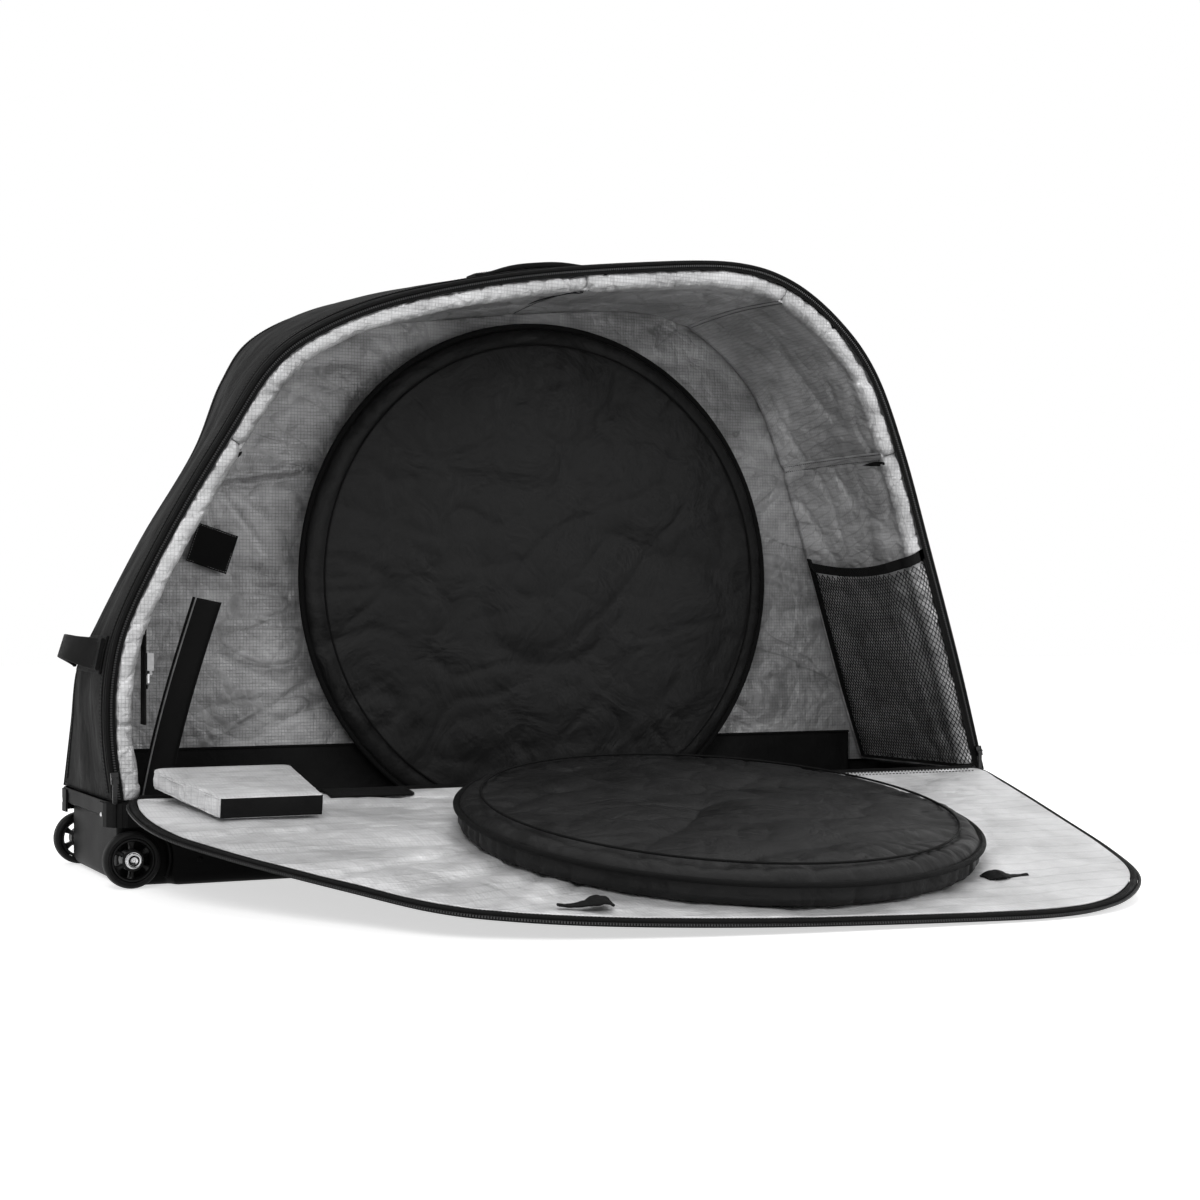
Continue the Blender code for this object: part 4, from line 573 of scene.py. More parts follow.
def back_walls():
    """Nylon back skin outside and the silver back lining inside."""
    bag_x, bag_z, bag_edge = 0.045, 0.423, 0.45

    def drape(p, n):
        hang = crease(0.0026, (p.x * 1.1 + p.z * 0.3, 0.0, p.z * 0.5), 2.4, 3)
        small = facet(0.0012, (p.x, 0.6, p.z * 1.2), 7.0)
        return (0.0030 * soft((p.x, p.y, p.z * 1.6), 3.2) + hang + small) * (1 if n.y > 0 else -1)

    def creases(p, n):
        away, turn = math.hypot(p.x - bag_x, p.z - bag_z), math.atan2(p.z - bag_z, p.x - bag_x)
        relief = crease(0.0040, (p.x * 0.5, 0.0, p.z * 2.4 + p.x), 2.6)
        relief += facet(0.0020, (p.x * 0.7, 0.3, p.z * 1.5), 9.0) + 0.0035 * soft(p, 4.5)
        near_bag = max(0.0, 1 - abs(away - bag_edge) / 0.10)
        relief += near_bag * crease(0.0034, (turn * 3.0, away * 1.2, 0.0), 2.4)
        # A sewn seam at the left, as a soft ridge, and the fan of creases that hangs below it
        off = p.z - 0.570 - 0.15 * (p.x + 0.470)
        ends = clamp((p.x + 0.500) / 0.030) * clamp((-0.335 - p.x) / 0.030)
        relief += ends * 0.0042 * math.exp(-(off / 0.0050) ** 2)
        relief -= ends * 0.0040 * math.exp(-((off + 0.012) / 0.006) ** 2)
        dx, dz = p.x + 0.515, p.z - 0.600
        far = math.hypot(dx, dz)
        below = max(0.0, 1 - abs(far - 0.11) / 0.10) * (1.0 if off < 0 else 0.35)
        relief += below * crease(0.0050, (math.atan2(dz, dx) * 1.7, far * 0.9, 3.0), 2.3, 2.5)
        return relief * (-1.0 if n.y > 0 else 1.0)

    skin = upright_panel("back_panel_fabric", BACK_Y - 0.0015, 0.0035, NYLON, "back_panel", 0.005, drape)
    thicken(skin, 0.002, 0.0)
    lining = upright_panel("back_lining_fabric", BACK_PAD_Y + 0.004, 0.0060, SILVER_BACK_SHADED, "back_lining",
                           0.0, creases, 400, 160)


# Each length of padding: its name, its start and end on the run, and how bold its folds are
PAD_PARTS = (("left", 0.0, 5 / 18, 0.7), ("shoulder", 5 / 18, 9.5 / 18, 0.6),
             ("top", 9.5 / 18, 12 / 18, 0.5), ("right_upper", 12 / 18, 15 / 18, 1.0),
             ("right_lower", 15 / 18, 1.0, 0.7))
# Thin black pieces at three of the seams, as painted shade of their gaps: offset along the run, reach from
# the front, half width
SEAM_GAP_SHADE = {"shoulder": (-0.0105, 0.040, 0.0046), "top": (-0.0100, 0.190, 0.0022),
             "right_lower": (0.0098, 0.072, 0.0036)}


def pad_section(n=9):
    """Section of the wall padding as (y, inset): a rolled front edge, a neck, then the flat."""
    y0, y1, rolled, soften = FRONT_Y + 0.0010, BACK_PAD_Y - 0.0006, 0.0150, 0.0016
    out = [(y0 + 0.0135, PAD_OUT), (y0 + 0.0128, PAD_OUT + 0.0040)]
    for a in math.pi / 2 * np.arange(n + 1) / n:
        out.append((y0 + 0.0110 * (1 - math.sin(a)), 0.0118 + 0.0080 * (1 - math.cos(a))))
    for a in math.pi / 2 * np.arange(n + 4) / (n + 3):
        out.append((y0 + rolled * (1 - math.cos(a)), PAD_IN + soften - rolled * (1 - math.sin(a))))
    for i in range(1, 46):
        y = y0 + rolled + (y1 - y0 - rolled) * (i / 45) ** 1.15
        neck = 0.0026 * math.exp(-((y - y0 - 0.034) / 0.012) ** 2)
        out.append((y, PAD_IN + soften * math.exp(-(y - y0 - rolled) / 0.008) - neck))
    out += [(y1, (PAD_OUT + PAD_IN) / 2), (y1, PAD_OUT)]
    out += [(y1 + (y0 + rolled - y1) * i / 8, PAD_OUT) for i in range(1, 8)]
    return np.array(out)


def section_normals(section):
    """Outward normals of the padding's section, in its own (depth, inset) plane."""
    d = np.roll(section, -1, 0) - np.roll(section, 1, 0)
    n = unit(np.stack([d[:, 1], -d[:, 0]], -1))
    return n if n[section[:, 1].argmax(), 1] > 0 else -n


def gathers(m, c, seed, spacing, reach, depth, width):
    """Sharp pleats that start at the sewn front edge, lean, and die out further in."""
    rand = random.Random(seed)
    out = np.zeros((len(m), len(c)))
    at = m[0] + rand.uniform(*spacing)
    while at < m[-1]:
        lean, long = rand.uniform(-1.1, 1.1), rand.uniform(*reach)
        deep, wide = rand.uniform(*depth), rand.uniform(*width)
        fade = np.clip(1 - c / long, 0, 1)
        gap = (m[:, None] - at - lean * c) / (wide * (0.30 + 0.70 * fade))
        steep, gentle = rand.choice(((2.6, 0.65), (0.65, 2.6)))
        gap = np.where(gap < 0, -gap * steep, gap * gentle)
        out = np.minimum(out, -deep * fade ** 0.6 * np.clip(1 - gap, 0, 1))
        at += rand.uniform(*spacing)
    return out


def pad_relief(m, across, front, seed, bold):
    """Height of the padding's cloth: pleats over the rolled edge, folds and facets further in."""
    c = across - across[2]
    pleats = gathers(m, c, seed, (0.012, 0.034), (0.045, 0.060 + 0.055 * bold),
                     (0.0010, 0.0020 + 0.0020 * bold), (0.007, 0.014 + 0.008 * bold))
    pleats += gathers(m, c, seed + 1, (0.007, 0.018), (0.020, 0.045), (0.0004, 0.0010), (0.0030, 0.0060))

    def folds(u, v, rolled):
        out = facet(0.0014, (u, v * 0.6, seed), 30.0, 1.2) + 0.0030 * soft((u * 9, v * 7, seed), 1)
        if rolled < 1:
            deep = crease(0.0050, (u * 0.8 + v * 0.5, v * 1.4, seed), 8.0, 4)
            out += (deep + 0.0050 * soft((u * 5, v * 9, seed), 1)) * (1 - rolled)
        return out

    return pleats + field(folds, *np.broadcast_arrays(m[:, None], across, front))


def wall_pads():
    """Silver padding in sewn lengths: rolled front edge, gathers and long folds."""
    section = pad_section()
    normal = section_normals(section)
    depth, rise = section.T
    free = np.where((rise > PAD_OUT + 0.006) & (depth < BACK_PAD_Y - 0.003), 1.0, 0.0)
    front = np.clip(1 - (depth - FRONT_Y - 0.014) / 0.030, 0, 1)
    for k, (name, start, end, bold) in enumerate(PAD_PARTS):
        a, b = run_metres(start) + 0.0006, run_metres(end) - 0.0006
        m = np.linspace(a, b, max(int((b - a) / 0.0017), 12))
        pinch = np.clip(1 - np.minimum(m - a, b - m) / 0.016, 0, 1)[:, None] ** 2
        inset = PAD_OUT + (rise - PAD_OUT) * (1 - 0.16 * pinch)
        relief = pad_relief(m, lengths(section), front, 3 + 7 * k, bold) + 0.0010
        relief = np.clip(relief * free, -0.0085, 0.0020)
        pts = wall(share_at(m)[:, None], depth + 0.004 * pinch * front * free + relief * normal[:, 0],
                   inset + relief * normal[:, 1])
        obj = grid_mesh(f"wall_pad_{name}_soft", pts, SILVER_WALL, nodes=["wall_pad_" + name], form="bar")
        if start > 0:
            wall_pad_seam(name, start)


def wall_pad_seam(name, start):
    """Lapped hem where two lengths of padding meet: a strip, two stitch rows, and at some seams a thin black
    piece as painted shade of the gap.
    """
    y = np.linspace(FRONT_Y + 0.012, BACK_PAD_Y - 0.004, 70)
    mid = run_metres(start)
    path = wall(start, y, PAD_IN - 0.0042)
    up = unit(wall(start, y, PAD_IN) - path)
    along = np.cross(up, PLUS_Y)
    ring_loft("pad_seam_" + name, path, along, up, rounded(0.016, 0.005, 0.0022, 3), SILVER_WALL)
    rows = np.arange(FRONT_Y + 0.014, BACK_PAD_Y - 0.006, 0.0056)
    for side, label in ((-0.0045, "a"), (0.0045, "b")):
        at = wall(share_at(mid + side), rows, PAD_IN - 0.0012)
        blocks(f"pad_seam_{name}_thread_{label}", at, PLUS_Y, np.cross(up[35], PLUS_Y), up[35],
               (0.0036, 0.0008, 0.0010), TAPE, slot="lining_silver")
    # Thin black piece laid on the padding: painted shade of the gap between the two lengths
    if name in SEAM_GAP_SHADE:
        off, reach, wide = SEAM_GAP_SHADE[name]
        y = np.linspace(0.0060, reach, 26)
        lift = np.interp(y, (0.006, 0.020, 0.040), (0.0012, 0.0016, 0.0))
        low = wall(share_at(mid + off), FRONT_Y + y, PAD_IN + lift)
        ends = np.sin(math.pi * np.linspace(0.10, 1, 26) ** 0.7)
        lip, top = along[20] * (wide * ends + 0.0002)[:, None], up[20] * 0.0009
        grid_mesh("pad_seam_gap_shade_" + name, np.stack([low - lip, low + top, low + lip, low - top], 1),
                  TAPE, form="bar")


def rim():
    """Piping, zip tape and zip teeth round the opening."""
    s = share_at(np.linspace(0, RUN_END, 460))
    front = (0.0, -1.0, 0.0)
    tube("rim_piping_cord", wall(s, FRONT_Y, 0.003), 0.0031, TAPE, sides=12, nodes=["rim_piping"])
    side = unit(wall(s, FRONT_Y, 0.0058) - wall(s, FRONT_Y, 0.0144))
    ring_loft("rim_zip_cloth", wall(s, FRONT_Y, 0.0101), side, front, rounded(0.0086, 0.0016, 0.0007, 3),
              TAPE, nodes=["rim_zip_tape"])
    at = share_at(np.arange(0.004, RUN_END - 0.004, 0.0034))
    teeth = wall(at, FRONT_Y - 0.0013, 0.0082)
    out = unit(wall(at, FRONT_Y, 0.0) - wall(at, FRONT_Y, 0.01))
    blocks("rim_zip_teeth", teeth, tangents(teeth), out, front, (0.0021, 0.0044, 0.0016), ZIP_METAL)


# Inside

def soft_disc(name, radius, thick, matrix, body, node, seed):
    """Puffy round wheel bag: crowned face, rolled and gathered edge."""
    turns, roll, crown, sole, hub = 360, 0.020, 0.010, 0.0003, 0.001
    k = np.linspace(0, 1, 70)
    face = np.stack([np.maximum((radius - roll) * k, hub), thick - crown * k * k], -1)
    top = thick - crown
    a = math.pi / 2 * (1 - np.arange(1, 9) / 8)
    edge = np.stack([radius - roll + roll * np.cos(a), top - roll + roll * np.sin(a)], -1)
    side = [(radius, z) for z in np.linspace(top - roll, roll * 0.5, 7)[1:]]
    under = [(radius - 0.004, 0.004), (radius - 0.012, sole), (radius * 0.5, sole), (hub, sole)]
    prof = np.vstack([face, edge, side, under])
    ring = np.stack([np.cos(circle(turns)), np.sin(circle(turns))], -1)
    pts = np.zeros((turns, len(prof), 3))
    for i, (cos, sin) in enumerate(ring):
        for j, (r, z) in enumerate(prof):
            x, y = r * cos, r * sin
            if z < 0.001:
                pts[i, j] = (x, y, z)
                continue
            near_edge, around = clamp((r / radius - 0.70) / 0.30), (cos, sin, seed)
            up = crease(0.0075, (x * 0.8 + y * 0.3, y * 1.3 - x * 0.2, seed), 3.1, 3)
            up += crease(0.0030, (x * 1.1 - y * 0.5, y * 1.4, seed + 2), 8.5, 3)
            up += facet(0.0022, (x, y * 1.3, seed), 9.0) + 0.007 * soft((x, y, seed), 5.0)
            up += crease(0.0075, around, 6.5, 3) * near_edge
            gather = (crease(0.0044, around, 9.0) + crease(0.0020, around, 23.0)) * near_edge ** 2
            free = min(abs(z - 0.030) / 0.010, 1.0)
            f = 1 + (0.0008 + gather * (0.12 + 0.88 * free)) / max(r, 0.01)
            pts[i, j] = (x * f, y * f, max(z + up * (1 - near_edge ** 4), 0.0002))
    obj = grid_mesh(name, moved(pts, matrix), NYLON_BAG, body, [node], "disc")


def ring_piece(name, radius, height, cord, matrix, body, nodes=(), welt=0.0):
    """Round cord on a wheel bag, with the thin edge that is sewn into the bag's seam."""
    ang, a = circle(360)[:, None], circle(12)[None]
    out, up = radius + cord * np.cos(a), height + cord * np.sin(a)
    out[0, 6] -= welt
    pts = moved(xyz(out * np.cos(ang), out * np.sin(ang), up), matrix)
    grid_mesh(name, pts, TAPE, body, nodes, "ring")


def wheel_bag(end, body, matrix, radius, thick, seed, piping, zip_line):
    """One of the two round wheel bags, with its piping and its zip."""
    soft_disc(f"{end}_wheel_bag_soft", radius, thick, matrix, body, f"{end}_wheel_bag", seed)
    ring_piece(f"{end}_bag_piping_cord", *piping, 0.0038, matrix, body, [f"{end}_bag_piping"], 0.007)
    ring_piece(f"{end}_bag_zip", *zip_line, 0.0016, matrix, body)


def kick_band():
    """Black band along the foot of the back lining."""
    x = np.linspace(-0.6168, 0.637, 260)
    X, Z = plane(x, np.concatenate([np.linspace(0.0108, 0.155, 24), np.linspace(0.158, 0.165, 5)]))
    Y = 0.1374 + field(lambda u, w: 0.0016 * soft((u * 9, 0, w * 9), 1), X, Z)
    band = grid_mesh("kick_band_fabric", xyz(X, Y, Z), NYLON, nodes=["kick_band"], slot="trim_black")
    thicken(band, 0.0018, 0.0)
    tube("kick_band_edge", xyz(x, 0.1366, 0.1645), 0.0022, TAPE)


POCKET_TOP, POCKET_Y0, POCKET_Y1, POCKET_OVER = 16 / 18, FRONT_Y + 0.016, BACK_PAD_Y - 0.014, 0.0365


def pocket_point(s, y, lift=1.0):
    """Points on the pocket's net: it stands away at the mouth, sags there, and wraps the roll.

    y below POCKET_Y0 counts on over the rolled front edge of the padding.
    """
    s, y = np.broadcast_arrays(s, y)
    k = np.clip((s - POCKET_TOP) / (1 - POCKET_TOP), 0, 1)
    v = np.clip((y - POCKET_Y0) / (POCKET_Y1 - POCKET_Y0), 0, 1)
    stand = 0.0042 + 0.0178 * (1 - k) * np.clip(np.minimum(v, 1 - v) * 9, 0.25, 1)
    over = np.clip(POCKET_Y0 - y, 0, None)
    a = np.minimum(over / 0.0172, math.pi / 2)
    r = 0.0150 + ((stand - 0.0016) * np.cos(a) + 0.0009 * np.sin(a)) * lift
    depth = np.where(over > 0, POCKET_Y0 - r * np.sin(a), y)
    rolled = 0.0244 + r * np.cos(a) - np.clip(over - 0.027, 0, None)
    p = wall(s, depth, np.where(over > 0, rolled, PAD_IN + stand * lift))
    whole = POCKET_Y1 - POCKET_Y0 + POCKET_OVER
    sag = np.sin(math.pi * np.clip((y - POCKET_Y0 + POCKET_OVER) / whole, 0, 1))
    p[..., 2] -= 0.017 * sag * (1 - k) ** 2
    return p


def pocket_net(m0, m1, y0, y1):
    """Net of slanting strands, as one curve."""
    length, width, pitch, slope, strand = m1 - m0, y1 - y0, 0.0070, 1.65, 0.00062
    curve = bpy.data.curves.new("pocket_net_fine", "CURVE")
    curve.dimensions = "3D"
    curve.bevel_depth = strand
    curve.bevel_resolution = 1
    t = width * np.linspace(0, 1, 64)
    for across in (t, width - t):
        for i in range(int((width * slope + length) / (pitch * slope)) + 1):
            m = i * pitch * slope - slope * across
            keep = (m >= 0) & (m <= length)
            if keep.sum() < 2:
                continue
            co = pocket_point(share_at(m0 + m[keep]), y0 + t[keep])
            line = curve.splines.new("POLY")
            line.points.add(len(co) - 1)
            line.points.foreach_set("co", np.column_stack([co, np.ones(len(co))]).ravel())
    net = bpy.data.objects.new("pocket_net_fine", curve)
    bpy.context.scene.collection.objects.link(net)
    curve.materials.append(TAPE.mat)
    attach(net, "bag")
    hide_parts("pocket_net")


def mesh_pocket():
    """The pocket's net, its stretch band and its binding."""
    start = run_metres(POCKET_TOP)
    m0, m1 = start + 0.016, RUN_END - 0.008
    y0, y1 = POCKET_Y0 - POCKET_OVER + 0.003, POCKET_Y1 - 0.005
    pocket_net(m0, m1, y0, y1)
    # Stretch band at the mouth, gathered along its length
    y = np.linspace(POCKET_Y0 - POCKET_OVER, POCKET_Y1, 190)[:, None]
    outer = pocket_point(share_at(np.linspace(start, m0 + 0.001, 8)), y)
    inner = outer[:, ::-1].copy()
    inner[..., 0] += np.where(y < POCKET_Y0 - 0.012, 0.0009, 0.0030) + 0.0006 * np.sin(y * 900)
    grid_mesh("pocket_band_soft", np.concatenate([outer, inner], 1), WEBBING, nodes=["pocket_band"],
              form="bar", smooth=50)
    # Binding down both sides and across the foot, as one bound strip
    side = share_at(np.linspace(m0, m1, 60))
    share = np.concatenate([side, np.full(40, side[-1]), side[::-1]])
    depth = np.concatenate([np.full(60, y0 - 0.0015), np.linspace(y0, y1, 40), np.full(60, y1 + 0.0025)])
    top, low = pocket_point(share, depth), pocket_point(share, depth, 0.0)
    mid, up = (top + low) / 2, unit(top - low)
    across = unit(np.cross(up, tangents(mid)))
    thick = np.linalg.norm(top - low, axis=1)[:, None] + 0.001
    ring_loft("pocket_binding_soft", mid, across * 0.0046, up * thick, rounded(1.0, 1.0, 0.3, 3), TAPE,
              nodes=["pocket_binding"], smooth=50)


def frame_strap():
    """Wide standing strap; its stiff edge is lined in light grey as a painted highlight."""
    foot_x, foot_z, top_z, half = -0.640, 0.0045, 0.385, 0.020
    t = np.linspace(0, 1, 70)
    x = foot_x + 0.093 * t - 0.010 * np.sin(math.pi * t)
    z = foot_z + (top_z - foot_z) * t
    T, W = plane(t, np.linspace(-half, half, 14))
    Y = -0.0495 - 0.004 * np.sin(math.pi * T) * np.cos(W / half * 1.4)
    strap = xyz(x[:, None] + W, Y, z[:, None] - 0.2 * W * T)
    thicken(grid_mesh("frame_strap_web", strap, WEBBING, nodes=["frame_strap"]), 0.003, 0.0)
    # Edge a is light grey as a painted highlight of the stiff edge; edge b is black tape
    for side, label, look in ((-0.0165, "a", STRAP_EDGE_HIGHLIGHT), (0.0188, "b", TAPE)):
        path = xyz(x + side, -0.0545, z - 0.2 * side * t)
        tube("frame_strap_edge_" + label, path, 0.0012, look, sides=8)
    foot = xyz(foot_x, np.linspace(-0.052, -0.109, 20), 0.0060)
    section = rounded(0.046, 0.003, 0.001, 2)
    ring_loft("frame_strap_foot_web", foot, (1.0, 0, 0), (0, 0, 1.0), section, WEBBING)


def bare_patch():
    """Bare sewn patch with turned edges and stitches."""
    m = turned((-0.488, BACK_PAD_Y - 0.0012, 0.464), math.pi / 2, math.radians(18), 0)
    U, V = plane(np.linspace(-0.032, 0.032, 24), np.linspace(-0.030, 0.030, 24))
    W = 0.0009 + field(lambda u, v: 0.0012 * soft((u * 30, v * 30, 2), 1), U, V)
    thicken(grid_mesh("bare_patch_cloth", moved(xyz(U, V, W), m), TAPE, nodes=["bare_patch"]), 0.0010)
    corners = np.array([(sx * 0.030, sy * 0.028, 0.0018) for sx, sy in ((-1, -1), (1, -1), (1, 1), (-1, 1))])
    edge = moved(resample(corners, 0.0040, True), m)
    thread("bare_patch_thread", edge, np.array(m.col[2].xyz), (0.0026, 0.0006, 0.0006), SILVER_BACK_SHADED, True)


# Handles

def handle(name, base, normal, side, width, bow, node):
    """Webbing grip over points on the wall, flat and box-stitched at both sewn ends."""
    rise = (1 - np.minimum(np.abs(np.linspace(-1, 1, len(base))) / 0.86, 1) ** 3) ** 2
    mid = base + normal * (0.0066 + bow * rise)[:, None]
    along, across = tangents(mid), np.broadcast_to(unit(side), base.shape)
    up = np.cross(along, across)
    up *= np.sign((up * normal).sum(1))[:, None]
    ring_loft(name, mid, across * (1 - 0.22 * rise)[:, None], up * (1 + 0.6 * rise)[:, None],
              rounded(width, 0.005, 0.0022, 3), WEBBING, nodes=[node], smooth=50)
    half, h = 0.012, width * 0.38
    for i, label in ((5, "a"), (len(base) - 6, "b")):
        box = [(-half, -h), (half, -h), (half, h), (-half, h), (-half, -h), (half, h), (half, -h), (-half, h)]
        centre = mid[i] + up[i] * 0.0032
        loop = resample(np.array([centre + along[i] * p + across[i] * q for p, q in box]), 0.0040)
        thread(f"{name}_thread_{label}", loop, up[i], (0.0028, 0.0008, 0.0007), NYLON_BAG)


def sewn_strip(name, s, reach, y, node):
    """Flat piece sewn on the wall under a handle."""
    m = run_metres(s)
    points = wall(share_at(np.linspace(m - reach, m + reach, 40))[:, None], y, -0.0034)
    thicken(grid_mesh(name, points, NYLON, nodes=[node], slot="trim_black"), 0.0026)


def handles():
    """End handle at its height up the left end, top handle near the middle of the top."""
    end_z, top_x, end_half, top_half = 0.309, -0.025, 0.125, 0.105
    s = float(np.interp(end_z, F_RUN[:40, 1], S_KNOTS[:40]))
    y = np.linspace(-end_half, end_half, 64)
    side = wall(s + 0.004, y, 0.0) - wall(s - 0.004, y, 0.0)
    normal = unit(xyz(-side[:, 2], 0.0, side[:, 0]))
    handle("end_handle_web", wall(s, y, 0.0), normal, side, 0.044, 0.030, "end_handle")
    sewn_strip("end_handle_base_web", s, 0.0262, np.linspace(-end_half, end_half, 60), "end_handle_base")
    s = float(S_KNOTS[100 + np.argmin(np.abs(F_RUN[100:200, 0] - top_x))])
    m = run_metres(s)
    base = wall(share_at(np.linspace(m - top_half, m + top_half, 64)), 0.0, 0.0)
    along = tangents(base)
    normal = xyz(-along[:, 2], 0.0, along[:, 0])
    handle("top_handle_web", base, normal, np.array(PLUS_Y), 0.036, 0.008, "top_handle")
    sewn_strip("top_handle_base_web", s, top_half, np.linspace(-0.0215, 0.0215, 12), "top_handle_base")


# Flap

FLAP = turned((0, HINGE_Y, HINGE_Z), -TILT, 0, math.pi)
FLAP_X, FLAP_OUT, FLAP_UP = np.array(FLAP)[:3, :3].T
FLAP_START = 0.0062


def on_flap(x, d, n):
    """World points from the flap's own x (as the bag's), reach and height."""
    return moved(xyz(-x, d, n), FLAP)


def flap_edge(inset, count=420):
    """Outline of the flap on its plane as (x, reach), from left foot to right foot."""
    s, foot = share_at(np.linspace(0, RUN_END, count)), FLAP_START + inset
    x, z = (take(F_RUN, s) - take(F_NORM, s) * (0.012 + inset)).T
    keep = z - HINGE_Z >= foot
    x, reach = x[keep], (z - HINGE_Z)[keep]
    shift = 0.010 * np.clip(1 - reach / 0.055, 0, 1) ** 2
    x = x + np.where(x < 0, shift, -shift)
    return np.vstack([(x[0] + 0.005, foot), np.stack([x, reach], -1), (x[-1] - 0.005, foot)])


def flap_axes(inset, step, height=0.0, foot=0.0):
    """Points along the flap's outline, with their directions along, outwards and up."""
    path = resample(flap_edge(inset), step, True)
    path = path[path[:, 1] > foot]
    c = on_flap(path[:, 0], path[:, 1], height)
    al = tangents(c, True)
    return c, al, np.cross(al, FLAP_UP), FLAP_UP


def flap_band(name, inset, section, node):
    """Closed band along the flap's outline."""
    c, al, out, up = flap_axes(inset, 0.005)
    ring_loft(name, c, out, up, rounded(*section), TAPE, "flap", "ring", [node])


def front_flap():
    """Silver lining in soft folds, flat skin, binding, zip tape and teeth, and stitch rows."""
    g = fan(flap_edge(0.0141, 320), 150)
    count, rows = g.shape[:2]
    i, j = plane(np.arange(count), np.arange(rows))
    edge = np.minimum(np.minimum(np.minimum(i, count - 1 - i), np.minimum(j, rows - 1 - j)) / 6.0, 1.0)

    def height(x, d, inner):
        long = 0.0045 * soft((x * 1.1 + d * 1.9, d * 0.6 - x * 0.4, 4.0), 3.0)
        wave = long + 0.0020 * soft((x, d, 0.0), 9.0)
        fold = crease(0.0040, (x * 0.75 + d * 0.9, d * 0.8 - x * 0.5, 1.0), 3.4, 3)
        # Long creases that fan out from the wheel bag towards the left edge
        far, turn = math.hypot(x - 0.10, d - 0.20), math.atan2(d - 0.20, 0.10 - x)
        left = crease(0.0085, (turn * 2.1, far * 0.35, 7.0), 3.4)
        left *= clamp((far - 0.34) / 0.12) * clamp(-x / 0.25)
        return 0.0052 + inner * (0.0028 + wave + fold + left + facet(0.0022, (x, d, 2.0), 11.0))

    n = np.maximum(field(height, g[..., 0], g[..., 1], edge), 0.0018)
    lining = grid_mesh("flap_lining_fabric", on_flap(g[..., 0], g[..., 1], n), SILVER_FLAP_LIT, "flap",
                       ["flap_lining"])
    thicken(lining, 0.0012)
    under = on_flap(g[::3, ::3, 0], g[::3, ::3, 1], -0.0050)
    thicken(grid_mesh("flap_skin_fabric", under, NYLON, "flap", ["flap_skin"]), 0.0020, 0.0)
    flap_band("flap_binding_tape", 0.0091, (0.0094, 0.0100, 0.0036, 4), "flap_binding")
    flap_band("flap_zip_cloth", 0.0021, (0.0042, 0.0028, 0.0012, 3), "flap_zip_tape")
    above_foot = FLAP_START + 0.02
    c, al, out, up = flap_axes(0.0006, 0.0034, 0.0, above_foot)
    blocks("flap_zip_teeth", c, al, up, out, (0.0020, 0.0030, 0.0024), ZIP_METAL, "flap")
    c, al, out, up = flap_axes(0.0095, 0.0046, 0.0052, above_foot)
    blocks("flap_binding_thread", c, al, out, up, (0.0030, 0.0007, 0.0007), WEBBING, "flap")
    # Two rows of stitches across the lining, near the hinge
    for k, d in enumerate((0.038, 0.052)):
        c = on_flap(np.arange(0.36, 0.640, 0.0062), d, 0.0086)
        blocks(f"flap_seam_thread_{k}", c, FLAP_X, FLAP_OUT, FLAP_UP, (0.0036, 0.0011, 0.0012), BOARD, "flap")


def flap_trim():
    """Hook strip and the two strap tabs: a creased hump at the sewn end, then a thin tail."""
    U, V = plane(np.linspace(-0.425, -0.305, 40), np.linspace(0.0203, 0.0628, 16))
    thicken(grid_mesh("hook_strip_pile", on_flap(U, V, 0.0104), WEBBING, "flap", ["hook_strip"]), 0.0034)
    for x, label, way in ((-0.315, "left", -1), (0.270, "right", 1)):
        t, w = plane(np.linspace(0, 1, 44), np.linspace(-1, 1, 13))
        X = x + way * (-0.033 + 0.066 * t)
        half = np.interp(t, (0, 0.12, 0.34, 0.56, 1), (0.011, 0.0145, 0.0135, 0.0070, 0.0040))
        V = REACH - 0.1395 + half * w + 0.0012 * np.sin(5 * t)
        hump = np.interp(t, (0, 0.08, 0.24, 0.40, 0.60, 0.82, 1),
                         (0.0020, 0.0075, 0.0115, 0.0085, 0.0030, 0.0016, 0.0038))
        creases = field(lambda u, v: facet(0.0018, (u, v, x), 60.0, 1), X, V)
        N = 0.0092 + hump * (1 - 0.5 * w ** 2) + creases * np.minimum(hump / 0.006, 1.0)
        tab = grid_mesh(f"strap_tab_{label}_web", on_flap(X, V, np.maximum(N, 0.0082)), WEBBING, "flap",
                        ["strap_tab_" + label])
        thicken(tab, 0.0024)


